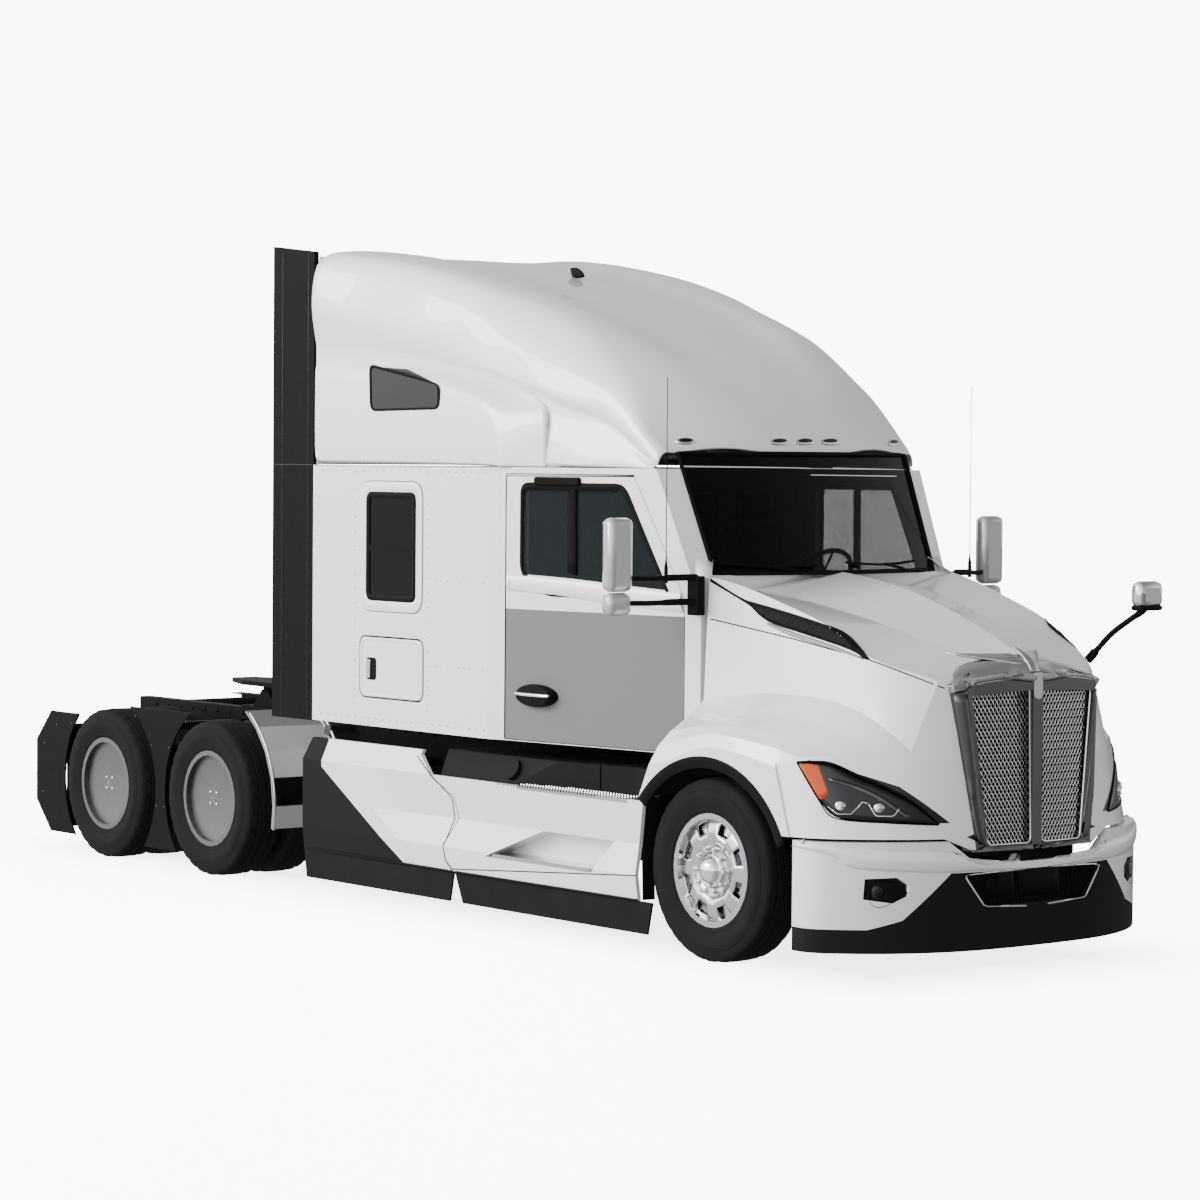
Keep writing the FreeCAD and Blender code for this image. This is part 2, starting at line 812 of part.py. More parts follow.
def ring_post(share, sides, radius, circle, x0, x1):
    """One post of a ring of them round the axle line, share of a turn from the first."""
    turn = 2 * math.pi * share
    centre = Vector(x0, circle * math.cos(turn), circle * math.sin(turn))
    corners = []
    for i in range(sides):
        a = 2 * math.pi * (i + 0.5) / sides + turn
        corners.append(centre + Vector(0, radius * math.cos(a), radius * math.sin(a)))
    return Part.Face(Part.makePolygon(corners + corners[:1])).extrude(Vector(x1 - x0, 0, 0))


def front_rim():
    """The polished wheel with its hand holes, hub and cap."""
    centre = front_rim_face - rim_width / 2
    face = centre + rim_width / 2 - face_recess
    web_radius = tyre_bead_radius - rim_wall / 2
    disc = wheel_ring([(face - disc_thickness, web_radius), (face, web_radius),
                       (face + dish_rise, hub_radius * 1.6)], 0)
    for i in range(hand_holes):
        disc = disc.cut(ring_post(i / hand_holes, hand_holes_sides, hand_hole_radius, hand_hole_circle,
                                  face - disc_thickness * 4, face + disc_thickness * 4))
    hub = wheel_ring([(hub_start_x, hub_radius), (face + dish_rise, hub_radius),
                      (front_rim_face - cap_taper, hub_radius * 0.75), (front_rim_face, hub_radius * 0.45)], 0)
    nuts = []
    for i in range(wheel_nuts):
        nuts.append(ring_post((i + 0.5) / wheel_nuts, nut_sides, nut_radius, nut_circle, face,
                              face + dish_rise + nut_height))
    solid = fuse([rim_barrel(centre), disc, hub] + nuts)
    return solid.cut(rod_x(spindle_radius + running_fit, hub_start_x - overrun, spindle_end_x + running_fit, 0, 0))


face_recess = 55.0
dish_rise = 22.0
hub_start_x = 945.0
spindle_end_x = 1085.0
cap_taper = 30.0
wheel_nuts = 10
nut_sides = 6
hand_holes_sides = 12
nut_radius = 15.0
nut_height = 24.0
nut_circle = 143.0


def drive_rims():
    """Both rims of a twin wheel on their hub, with the smooth outer cover."""
    outer = half_width - tyre_width / 2
    inner = outer - dual_spacing
    face = outer + rim_width / 2 - cover_recess
    middle = (outer + inner) / 2
    web_radius = tyre_bead_radius - rim_wall / 2
    cover = wheel_ring([(face - cover_thickness, web_radius), (face, web_radius)], 0)
    web = wheel_ring([(middle - disc_thickness, web_radius), (middle + disc_thickness, web_radius)], 0)
    drum = wheel_ring([(axle_end_x + panel_gap, drum_radius), (middle, drum_radius)], 0)
    hub = wheel_ring([(middle, hub_radius), (face, hub_radius)], 0)
    sleeve = wheel_ring([(inner + rim_width / 2 - rim_wall, web_radius),
                         (outer - rim_width / 2 + rim_wall, web_radius)], web_radius - rim_wall)
    solid = fuse([rim_barrel(outer), rim_barrel(inner), cover, web, drum, hub, sleeve])
    reach = half_width - cover_recess * 2
    return solid.cut(rod_x(drive_spindle_radius + running_fit, axle_end_x - overrun, reach + running_fit, 0, 0))


drum_radius = 205.0


def knuckle():
    """The left steering knuckle: fork, kingpin, backing plate and wheel spindle."""
    eye = kingpin_eye_height / 2
    outer = hub_start_x - panel_gap
    pieces = [rod_z(kingpin_radius, kingpin_x, 0, tyre_radius - eye - knuckle_lug, tyre_radius + eye + knuckle_lug)]
    for level in (tyre_radius + eye + seat_gap * 10, tyre_radius - eye - knuckle_lug):
        top = level + knuckle_lug - seat_gap * 10
        pieces.append(bar(kingpin_eye * 0.9, Vector(kingpin_x, 0, level), Vector(kingpin_x, 0, top), 12))
        pieces.append(block(kingpin_x, outer - backing_thickness, -kingpin_eye * 0.8, kingpin_eye * 0.8,
                            level, level + knuckle_lug - seat_gap * 10))
    plate = bar(backing_radius, Vector(outer - backing_thickness - panel_gap, 0, tyre_radius),
                Vector(outer - panel_gap, 0, tyre_radius), 20)
    spindle = rod_x(spindle_radius, outer - backing_thickness - panel_gap, spindle_end_x, 0, tyre_radius)
    pieces.append(plate)
    pieces.append(spindle)
    return fuse(pieces)


# Cab and sleeper


def cab_plan(inset, front_y):
    """The outline of cab and sleeper from above, drawn in by inset."""
    slope = (door_plane_end_x - cowl_half_width) / (door_plane_end_y - firewall_y)
    front_x = cowl_half_width + (front_y - firewall_y) * slope
    half = [(front_x, front_y), (door_plane_end_x, door_plane_end_y), (half_width, sleeper_start_y),
            (half_width, cab_back)]
    points = half + [(-x, y) for x, y in reversed(half)]
    wire = closed_wire(points, "z", 0)
    face = Part.Face(wire)
    if inset:
        face = face.makeOffset2D(-inset, 2)
    return face


def plan_slab(inset, front_y, low, high):
    face = cab_plan(inset, front_y)
    face.translate(Vector(0, 0, low))
    return face.extrude(Vector(0, 0, high - low))


def screen_y(z):
    return screen_base_y + (z - screen_low_z) * screen_rake


def bow_back(x):
    """How far the windscreen falls back at x from the middle."""
    return screen_bow * (x / half_width) ** 2


def front_limit(inset, low, high):
    """The space behind the curved, raked face of the windscreen."""
    wires = []
    for z in (low, high):
        y = screen_y(z) + inset
        edge = half_width + overrun
        side_y = y + bow_back(edge)
        bow = Part.Arc(Vector(-edge, side_y, z), Vector(0, y, z), Vector(edge, side_y, z)).toShape()
        back = cab_back + overrun
        corners = [Vector(edge, side_y, z), Vector(edge, back, z), Vector(-edge, back, z), Vector(-edge, side_y, z)]
        wires.append(Part.Wire([bow] + Part.makePolygon(corners).Edges))
    return Part.makeLoft(wires, True, True)


def cab_volume(inset, top):
    """Cab and sleeper up to the roof seam, every wall drawn in by inset."""
    low = plan_slab(inset, firewall_y, cab_floor_height + inset, cowl_height + inset)
    high = plan_slab(inset, firewall_y - cowl_reach, cowl_height + inset, top)
    high = high.common(front_limit(inset, cowl_height + inset, top))
    return low.fuse(high)


cowl_reach = 200.0


def side_zone(depth):
    """The outer skin of the left side, depth thick, for everything that fits in it."""
    outer = plan_slab(0, firewall_y, cab_floor_height, seam_height)
    inner = plan_slab(depth, firewall_y, cab_floor_height - overrun, seam_height + overrun)
    zone = outer.cut(inner)
    return zone.common(block(wall, half_width + overrun, firewall_y + wall * 1.5, cab_back - wall * 2,
                             cab_floor_height, seam_height))


def side_prism(points, gap, radius=0):
    """An outline in y and z carried through the left half of the body."""
    face = Part.Face(closed_wire(points, "x", 0))
    if gap:
        face = face.makeOffset2D(gap, 2)
    if radius:
        corners = [(v.Point.y, v.Point.z) for v in face.OuterWire.OrderedVertexes]
        face = Part.Face(rounded_wire(corners, radius, "x", 0))
    face.translate(Vector(wall * 2, 0, 0))
    return face.extrude(Vector(half_width, 0, 0))


door_outline = [(door_front_y, door_bottom_z), (door_front_y, door_belt_z), (door_shoulder_y, door_top_z),
                (door_rear_y, door_top_z), (door_rear_y, door_bottom_z)]
door_rim = 65.0
door_window_top = door_top_z - door_rim
door_window_front = door_front_y + door_rim * 1.6
door_window_rear = door_rear_y - door_rim * 2
door_window = [(door_window_front, door_belt_z), (door_shoulder_y + door_rim * 1.2, door_window_top),
               (door_window_rear, door_window_top), (door_window_rear, door_belt_z + door_rim * 1.8),
               (door_window_rear - door_rim * 3, door_belt_z)]
luggage_front_y = 2603.0
luggage_rear_y = 3270.0
luggage_low_z = 1277.0
luggage_top_z = 1649.0
luggage_outline = [(luggage_front_y, luggage_low_z), (luggage_front_y, luggage_top_z),
                   (luggage_rear_y, luggage_top_z), (luggage_rear_y, luggage_low_z)]
bunk_window_front = 2690.0
bunk_window_rear = 3190.0
bunk_window_low = seam_height - 810.0
bunk_window_top = seam_height - 170.0
bunk_window = [(bunk_window_front, bunk_window_low), (bunk_window_front, bunk_window_top),
               (bunk_window_rear, bunk_window_top), (bunk_window_rear, bunk_window_low)]
corner_radius = 60.0
hinge_height = 80.0
hinge_shares = (0.2, 0.55)


def cab_shell():
    """Cab and sleeper in one hollow shell, open to the roof, with its doorways and windows."""
    shell = cab_volume(0, seam_height).cut(cab_volume(wall, seam_height + overrun))
    openings = [side_zone(wall).common(side_prism(door_outline, 0)),
                side_zone(wall).common(side_prism(luggage_outline, 0, corner_radius)),
                side_zone(wall).common(side_prism(bunk_window, 0, corner_radius))]
    for hole in openings:
        shell = shell.cut(hole)
        shell = shell.cut(mirrored(hole))
    return shell.cut(screen_prism(0))


def screen_prism(inset):
    """The windscreen's outline from the front, carried through the front wall."""
    low = screen_low_z + inset
    top = screen_top_z - inset
    outline = [(screen_low_half - inset, low), (screen_top_half - inset, top),
               (-screen_top_half + inset, top), (-screen_low_half + inset, low)]
    return slab(outline, "y", 0, door_shoulder_y)


def windscreen():
    outer = front_limit(glass_inset, cowl_height, screen_top_z + overrun)
    inner = front_limit(glass_inset + glass, cowl_height, screen_top_z + overrun)
    return outer.cut(inner).common(screen_prism(0))


def sleeper_window():
    zone = side_zone(glass_inset + glass).cut(side_zone(glass_inset))
    return zone.common(side_prism(bunk_window, 0, corner_radius))


def door_x(y):
    """Where the slanted side of the cab is at y."""
    slope = (door_plane_end_x - cowl_half_width) / (door_plane_end_y - firewall_y)
    return cowl_half_width + (y - firewall_y) * slope


def hinges(x, y, low, high):
    """The lugs at a door's front edge that bear on the jamb."""
    lugs = []
    for share in hinge_shares:
        z = low + share * (high - low)
        lugs.append(block(x - door_thickness * 0.9, x - door_thickness * 0.3, y + seat_gap, y + panel_gap * 2,
                          z, z + hinge_height))
    return lugs


def door_shell():
    """The left door, the full thickness of the wall, with its window cut and its handle pod."""
    zone = side_zone(door_thickness)
    door = zone.common(side_prism(door_outline, -panel_gap))
    door = door.cut(side_prism(door_window, 0, corner_radius))
    x = door_x(handle_y)
    pod = block(x - handle_sink, x + handle_rise, handle_y - handle_half, handle_y + handle_half,
                handle_z - handle_height / 2, handle_z + handle_height / 2)
    pod = pod.makeFillet(handle_height * 0.3, [e for e in pod.Edges if abs(e.Vertexes[0].X - e.Vertexes[1].X) > 1])
    return fuse([door, pod] + hinges(door_x(door_front_y), door_front_y, door_bottom_z, door_belt_z))


handle_y = 1569.0
handle_z = 1372.0
handle_half = 115.0
handle_height = 84.0
handle_rise = 34.0
handle_sink = 20.0


def door_glass():
    zone = side_zone(glass_inset * 2 + glass).cut(side_zone(glass_inset * 2))
    return zone.common(side_prism(door_window, 0, corner_radius))


def luggage_door():
    door = side_zone(door_thickness).common(side_prism(luggage_outline, -panel_gap, corner_radius - panel_gap))
    return fuse([door] + hinges(half_width, luggage_front_y, luggage_low_z, luggage_top_z))


# The roof as cross sections: place along the cab as a share of its length, then x as shares of
# half width and heights as shares of the roof's rise: foot x, middle of the side x, crease x and
# height, top edge x and height, ridge x and height, and height of the middle.
roof_sections_share = (
    (0.106, 0.800, 0.800, 0.808, -0.423, 0.722, -0.370, 0.238, -0.162, -0.136),
    (0.148, 0.812, 0.806, 0.808, -0.158, 0.730, -0.113, 0.244, 0.096, 0.112),
    (0.185, 0.830, 0.822, 0.820, 0.017, 0.740, 0.075, 0.249, 0.232, 0.245),
    (0.228, 0.850, 0.838, 0.823, 0.103, 0.738, 0.228, 0.271, 0.345, 0.353),
    (0.264, 0.867, 0.850, 0.828, 0.170, 0.727, 0.340, 0.293, 0.415, 0.423),
    (0.306, 0.887, 0.868, 0.845, 0.223, 0.724, 0.432, 0.318, 0.487, 0.494),
    (0.358, 0.912, 0.892, 0.865, 0.268, 0.722, 0.533, 0.338, 0.556, 0.562),
    (0.416, 0.938, 0.915, 0.888, 0.321, 0.730, 0.615, 0.351, 0.627, 0.632),
    (0.501, 0.955, 0.912, 0.909, 0.392, 0.759, 0.702, 0.369, 0.714, 0.717),
    (0.607, 0.955, 0.920, 0.927, 0.468, 0.808, 0.796, 0.386, 0.807, 0.809),
    (0.739, 0.955, 0.930, 0.942, 0.534, 0.857, 0.889, 0.394, 0.897, 0.898),
    (0.889, 0.955, 0.940, 0.944, 0.564, 0.890, 0.960, 0.402, 0.966, 0.968),
    (0.950, 0.960, 0.955, 0.968, 0.566, 0.927, 0.981, 0.406, 0.986, 0.987),
    (1.000, 0.970, 0.970, 0.997, 0.570, 0.989, 0.996, 0.410, 0.999, 1.000),
)
channel_depth = 28.0
channel_height = 50.0
edge_round = 100.0
roof_drop = 700.0
roof_steps = 2


def smooth_rows(rows, steps):
    """The rows with more between them, on curves that pass through all of them."""
    result = []
    last = len(rows) - 1
    for i in range(last):
        before, start, finish, after = rows[max(i - 1, 0)], rows[i], rows[i + 1], rows[min(i + 2, last)]
        for step in range(steps):
            t = step / steps
            row = []
            for a, b, c, d in zip(before, start, finish, after):
                row.append(b + t * ((c - a) + t * (2 * a - 5 * b + 4 * c - d + t * (3 * (b - c) + d - a))) / 2)
            result.append(row)
    return result + [rows[-1]]


def roof_outline(row, inset):
    """One cross section of the roof, drawn in by inset and set back by as much."""
    y, foot_x, mid_x, crease_x, crease, edge_x, edge, ridge_x, ridge, middle = row
    rise = roof_height - seam_height
    y = min(y * cab_back + inset, cab_back - inset)
    drop = inset * 0.6

    def place(x_share, z_share):
        return x_share * half_width - inset, seam_height + z_share * rise - drop

    crease_at = place(crease_x, crease)
    valley = (crease_at[0] - channel_depth, crease_at[1] - channel_height)
    foot_z = min(seam_height, valley[1] - channel_height)
    edge_at = place(edge_x, edge)
    ridge_at = place(ridge_x, ridge)
    centre = place(0, middle)
    half = [(foot_x * half_width - inset, seam_height - roof_drop), (foot_x * half_width - inset, foot_z),
            (mid_x * half_width - inset, (foot_z + valley[1]) / 2), valley, crease_at,
            (edge_at[0] + (crease_at[0] - edge_at[0]) * 0.2, edge_at[1] - edge_round), (edge_at[0] - edge_round, edge_at[1]),
            ridge_at]
    full = half + [(0, centre[1])] + [(-x, z) for x, z in reversed(half)]
    return [Vector(x, y, z) for x, z in full]


def roof_volume(inset):
    """The space in the roof, drawn in by inset."""
    steps = 1 if inset else roof_steps
    body = faceted([roof_outline(row, inset) for row in smooth_rows(roof_sections_share, steps)])
    if inset:
        return body
    return body.common(block(-half_width * 2, half_width * 2, 0, cab_back, seam_height, roof_height * 2))


# The sleeper's full-width side under the channel, seen from the side: places as shares of the
# cab's length and heights as shares of the roof's rise
cheek_shares = ((0.475, 0.0), (0.475, 0.030), (0.488, 0.170), (0.507, 0.276), (0.567, 0.358), (0.650, 0.396),
                (0.757, 0.506), (0.879, 0.524), (1.0, 0.545), (1.0, 0.0))
cheek_round = 45.0


def cheeks(inset):
    """The two cheeks in one block across the sleeper, drawn in by inset."""
    rise = roof_height - seam_height
    outline = [(y * cab_back, seam_height + z * rise) for y, z in cheek_shares]
    reach = half_width - inset
    face = Part.Face(closed_wire(outline, "x", -reach))
    if inset:
        face = face.makeOffset2D(-inset, 2)
        return face.extrude(Vector(reach * 2, 0, 0))
    body = face.extrude(Vector(reach * 2, 0, 0))
    edges = []
    for edge in body.Edges:
        ends = [v.Point for v in edge.Vertexes]
        on_side = abs(abs(ends[0].x) - reach) < seat_gap and abs(ends[0].x - ends[1].x) < seat_gap
        lifted = max(ends[0].z, ends[1].z) > seam_height + seat_gap
        at_back = min(ends[0].y, ends[1].y) > cab_back - seat_gap
        if on_side and lifted and not at_back:
            edges.append(edge)
    return body.makeChamfer(cheek_round, edges)


def roof_cap():
    cap = roof_volume(0).fuse(cheeks(0))
    inner_cheeks = cheeks(roof_wall)
    inner_cheeks.translate(Vector(0, 0, -roof_wall * 2))
    cap = cap.cut(roof_volume(roof_wall)).cut(cheeks(roof_wall)).cut(inner_cheeks)
    cap = cap.cut(screen_prism(0))
    hole = side_prism(roof_window, 0, corner_radius)
    cap = cap.cut(hole)
    return cap.cut(mirrored(hole))


roof_window_shares = ((0.650, 0.262), (0.650, 0.362), (0.740, 0.440), (0.838, 0.455), (0.838, 0.262))
roof_window = [(y * cab_back, seam_height + z * (roof_height - seam_height)) for y, z in roof_window_shares]


def roof_glass():
    zone = block(half_width - glass_inset - glass, half_width - glass_inset, 0, cab_back, seam_height, roof_height)
    return zone.common(side_prism(roof_window, 0, corner_radius))


def roof_lamps():
    """Five marker lamp pods over the windscreen."""
    pods = []
    roof = roof_volume(0)
    half = lamp_height / 2
    for x, y in lamp_places:
        pod = slab([(x - lamp_half, lamp_z), (x - lamp_half + half, lamp_z - half), (x + lamp_half - half, lamp_z - half),
                    (x + lamp_half, lamp_z), (x + lamp_half - half, lamp_z + half), (x - lamp_half + half, lamp_z + half)],
                   "y", y - lamp_depth, y + lamp_depth)
        pods.append(pod.cut(roof))
    return Part.makeCompound(pods)


lamp_z = seam_height + 0.12 * (roof_height - seam_height)
lamp_y = 562.0
lamp_half = 48.0
lamp_height = 32.0
lamp_depth = 50.0
lamp_spread = 190.0
lamp_outer = 787.0
lamp_places = [(x, lamp_y + bow_back(x)) for x in (-lamp_outer, -lamp_spread, 0, lamp_spread, lamp_outer)]

# Side extenders behind the sleeper
extender_length = 460.0
extender_thickness = 34.0
extender_rise = 48.0
extender_low_z = 1095.0


def side_extender():
    top = roof_height
    outline = [(cab_back + seat_gap, extender_low_z), (cab_back + seat_gap, top),
               (cab_back + extender_length, top + extender_rise), (cab_back + extender_length, extender_low_z)]
    panel = slab(outline, "x", half_width - extender_thickness, half_width)
    return panel


# Inside the cab
seat_width = 500.0
seat_depth = 480.0
seat_back_height = 700.0
seat_x = 480.0
seat_y = 1130.0
seat_z = 1560.0
cushion = 110.0


def seat():
    """A driver's seat: pedestal, cushion, back and head restraint."""
    half = seat_width / 2
    base = block(seat_x - half * 0.6, seat_x + half * 0.6, seat_y, seat_y + seat_depth * 0.8,
                 cab_floor_height + wall, seat_z)
    pad = block(seat_x - half, seat_x + half, seat_y - cushion / 2, seat_y + seat_depth, seat_z, seat_z + cushion)
    back = block(seat_x - half, seat_x + half, seat_y + seat_depth - cushion, seat_y + seat_depth + cushion / 4,
                 seat_z + cushion, seat_z + cushion + seat_back_height)
    head = block(seat_x - half / 2, seat_x + half / 2, seat_y + seat_depth - cushion * 0.9, seat_y + seat_depth,
                 seat_z + cushion + seat_back_height, seat_z + cushion * 2.6 + seat_back_height)
    return fuse([base, pad, back, head])


def bunk():
    """The mattress on its board across the sleeper, with the luggage space open below it."""
    reach = half_width - wall - panel_gap
    front = cab_back - wall - bunk_depth
    rear = cab_back - wall - seat_gap
    floor = cab_floor_height + wall
    board = block(-reach, reach, front, rear, bunk_board_z, bunk_top)
    panel = block(-reach, reach, front, front + bunk_board, floor, bunk_board_z)
    return fuse([board, panel])


bunk_board = 20.0
bunk_board_z = 1600.0
bunk_depth = 950.0
bunk_top = 1760.0


def wheel_grip_ring():
    """The steering wheel's rim, many-sided in section."""
    corners = []
    for i in range(grip_sides):
        a = 2 * math.pi * (i + 0.5) / grip_sides
        corners.append(Vector(wheel_radius + wheel_grip * math.cos(a), 0, wheel_grip * math.sin(a)))
    face = Part.Face(Part.makePolygon(corners + corners[:1]))
    return face.revolve(Vector(0, 0, 0), Vector(0, 0, 1), 360)


grip_sides = 6


def dashboard():
    """The dash across the cab, with the steering column and wheel."""
    top = cowl_height - dash_drop
    reach = cowl_half_width - wall - dash_side_gap
    outline = [(firewall_y + wall + seat_gap, dash_low), (firewall_y + wall + seat_gap, top),
               (firewall_y + dash_depth, top), (firewall_y + dash_depth + dash_drop, top - dash_drop * 2),
               (firewall_y + dash_depth, dash_low)]
    dash = slab(outline, "x", -reach, reach)
    start = Vector(seat_x, firewall_y + dash_depth, wheel_z - column_length * 0.5)
    tilt = Vector(0, math.cos(column_tilt), math.sin(column_tilt))
    centre = start + tilt * column_length
    column = bar(column_radius, start, centre)
    ring = wheel_grip_ring()
    ring.Placement = FreeCAD.Placement(centre, FreeCAD.Rotation(Vector(0, 0, 1), tilt))
    spokes = []
    for angle in (0, 120, 240):
        spoke = bar(wheel_grip / 2, centre, centre + Vector(wheel_radius, 0, 0), 6)
        spoke.rotate(centre, tilt, angle + 30)
        spokes.append(spoke)
    return fuse([dash, column, ring] + spokes)


dash_drop = 60.0
dash_low = 1600.0
dash_depth = 420.0
dash_side_gap = 60.0
wheel_z = 2010.0
column_length = 260.0
column_tilt = math.radians(35.0)
column_radius = 35.0
wheel_radius = 225.0
wheel_grip = 15.0

# Door mirrors on the cowl
mirror_inner_x = 1335.0
mirror_outer_x = 1505.0
mirror_front_y = 440.0
mirror_rear_y = 545.0
mirror_low_z = cowl_height - 200.0
mirror_top_z = cowl_height + 321.0
mirror_round = 28.0
arm_radius = 16.0
arm_z_shares = (0.12, 0.5)
aerial_radius = 4.0
aerial_x = 1160.0
aerial_top_z = 3193.0


def door_mirror():
    """The left mirror: bracket on the cowl, two arms, head and whip aerial."""
    head = block(mirror_inner_x, mirror_outer_x, mirror_front_y, mirror_rear_y, mirror_low_z, mirror_top_z)
    head = head.makeChamfer(mirror_round, [e for e in head.Edges if abs(e.Vertexes[0].Z - e.Vertexes[1].Z) > 1])
    bracket = block(cowl_half_width - panel_gap, cowl_half_width + bracket_depth, firewall_y - bracket_width / 2,
                    firewall_y + bracket_width, mirror_low_z - overrun, cowl_height)
    bracket = bracket.cut(plan_slab(0, firewall_y, cab_floor_height, seam_height))
    pieces = [head, bracket]
    for share in arm_z_shares:
        z = mirror_low_z + share * (cowl_height - mirror_low_z) * 2
        start = Vector(cowl_half_width + bracket_depth / 2, firewall_y, min(z, cowl_height - arm_radius))
        finish = Vector(mirror_inner_x + mirror_round, mirror_front_y + mirror_round, z)
        pieces.append(bar(arm_radius, start, finish))
    y = firewall_y + (mirror_front_y + mirror_round - firewall_y) * aerial_share
    foot = Vector(aerial_x, y, aerial_foot_z)
    pieces.append(bar(aerial_radius * 3, Vector(aerial_x, y, mirror_low_z + overrun), foot))
    pieces.append(bar(aerial_radius, foot - Vector(0, 0, overrun), Vector(aerial_x, y, aerial_top_z), 6))
    return fuse(pieces)


aerial_share = 0.49
aerial_foot_z = cowl_height + 50.0

# The hood as cross sections: y, then x and z of the fender side, crown, crease, shoulder and
# valley, and z of the middle. y is a share of the front overhang, x of half width, z of the
# cowl's height.
hood_sections_share = (
    (0.415, 1.000, 0.476, 0.951, 0.546, 0.787, 0.667, 0.763, 1.000, 0.492, 0.962, 1.009),
    (0.244, 1.000, 0.514, 0.935, 0.595, 0.787, 0.672, 0.763, 1.000, 0.492, 0.962, 1.009),
    (0.111, 1.000, 0.543, 0.939, 0.612, 0.775, 0.686, 0.738, 0.986, 0.472, 0.953, 1.002),
    (0.000, 1.000, 0.562, 0.943, 0.621, 0.763, 0.696, 0.722, 0.969, 0.459, 0.945, 0.993),
    (-0.222, 1.000, 0.557, 0.935, 0.617, 0.742, 0.704, 0.699, 0.928, 0.386, 0.915, 0.967),
    (-0.444, 1.000, 0.533, 0.902, 0.602, 0.718, 0.698, 0.674, 0.878, 0.336, 0.880, 0.928),
    (-0.630, 1.000, 0.500, 0.861, 0.571, 0.687, 0.671, 0.646, 0.813, 0.287, 0.843, 0.885),
    (-0.785, 1.000, 0.457, 0.788, 0.533, 0.640, 0.614, 0.557, 0.776, 0.221, 0.805, 0.845),
    (-0.911, 1.000, 0.410, 0.697, 0.471, 0.533, 0.524, 0.449, 0.733, 0.172, 0.762, 0.805),
    (-1.020, 1.000, 0.371, 0.574, 0.405, 0.369, 0.429, 0.336, 0.695, 0.123, 0.722, 0.760),
)


def hood_outline(row, inset, low):
    """One cross section, drawn in by inset, from fender to fender."""
    y = row[0] * front_overhang
    xs = [share * half_width for share in row[1:10:2]]
    zs = [share * cowl_height for share in row[2:11:2]]
    top = row[11] * cowl_height
    side = Vector(xs[0] - inset, y, zs[0] - inset / 2)
    crown = Vector(xs[1] - inset * 0.8, y, zs[1] - inset)
    crease = Vector(xs[2] - inset, y, zs[2] - inset)
    shoulder = Vector(xs[3] - inset, y, zs[3] - inset)
    valley = Vector(xs[4], y, zs[4] - inset)
    middle = Vector(0, y, top - inset)

    foot = Vector(side.x, y, low)
    round_side = (side + crown) * 0.5 + Vector(half_width, 0, cowl_height / 2) * swell_share
    hollow = (crown + crease) * 0.5 - Vector(0, 0, cowl_height / 2) * swell_share
    half = [foot, side, round_side, crown, hollow, crease, shoulder, valley]
    return [middle] + [Vector(-v.x, v.y, v.z) for v in reversed(half)] + half


swell_share = 0.012

# The nose from above at three heights: x as shares of half width, y as shares of the overhang
nose_x_share = (0.0, 0.35, 0.60, 0.80, 0.93, 1.0, 1.0)
nose_y_share = {0.0: (0.998, 0.982, 0.915, 0.800, 0.680, 0.560, 0.480),
                0.45: (0.975, 0.950, 0.850, 0.700, 0.570, 0.430, 0.330),
                1.0: (0.940, 0.895, 0.740, 0.520, 0.360, 0.200, 0.100)}


def nose_wire(share, inset, z):
    ys = nose_y_share[share]
    points = [Vector(x * half_width, -y * front_overhang + inset * 1.1, z) for x, y in zip(nose_x_share, ys)]
    points[-1].x = half_width + overrun * 3
    points[-2].x = half_width * 0.99
    half = points[:-1]
    full = [Vector(-v.x, v.y, v.z) for v in reversed(half[1:])] + half
    curve = spline(full)
    rear = front_overhang
    start = full[-1]
    back = Part.makePolygon([start, Vector(half_width * 2, start.y, z), Vector(half_width * 2, rear, z),
                             Vector(-half_width * 2, rear, z), Vector(-half_width * 2, start.y, z), full[0]])
    return Part.Wire([curve] + back.Edges)


def nose_limit(inset):
    """The space behind the rounded nose of the hood, which leans back as it rises."""
    low = hood_bottom - hood_pivot_z
    heights = {0.0: hood_bottom - low, 0.45: hood_bottom + (cowl_height - hood_bottom) * 0.32,
               1.0: cowl_height * 0.98}
    wires = [nose_wire(share, inset, heights[share]) for share in (0.0, 0.45, 1.0)]
    upper = nose_wire(1.0, inset, cowl_height * 1.1)
    return Part.makeLoft(wires + [upper], True, True)


def hood_volume(inset):
    """The space in the hood: smooth outside, flat-sided inside."""
    low = hood_pivot_z + overrun if inset == 0 else hood_pivot_z
    outlines = [hood_outline(row, inset, low) for row in hood_sections_share]
    if inset:
        body = faceted(outlines)
    else:
        body = Part.makeLoft([Part.makePolygon(outline + outline[:1]) for outline in outlines], True, False)
    body = body.common(nose_limit(inset)).common(block(-half_width, half_width, -half_length, half_length, 0, roof_height))
    rear = hood_rear_y + (overrun if inset else 0)
    tail = [(rear, cowl_height * 1.1), (rear, hood_bottom * 1.85), (rear + hood_sweep, hood_bottom * 1.6),
            (rear + hood_sweep * 3, hood_bottom * 1.15), (rear + hood_sweep * 3.2, 0),
            (front_overhang, 0), (front_overhang, cowl_height * 1.1)]
    body = body.cut(slab(tail, "x", -half_width * 2, half_width * 2))
    return body.cut(front_limit(-panel_gap, cowl_height - overrun, cowl_height * 1.2))


hood_sweep = 82.0


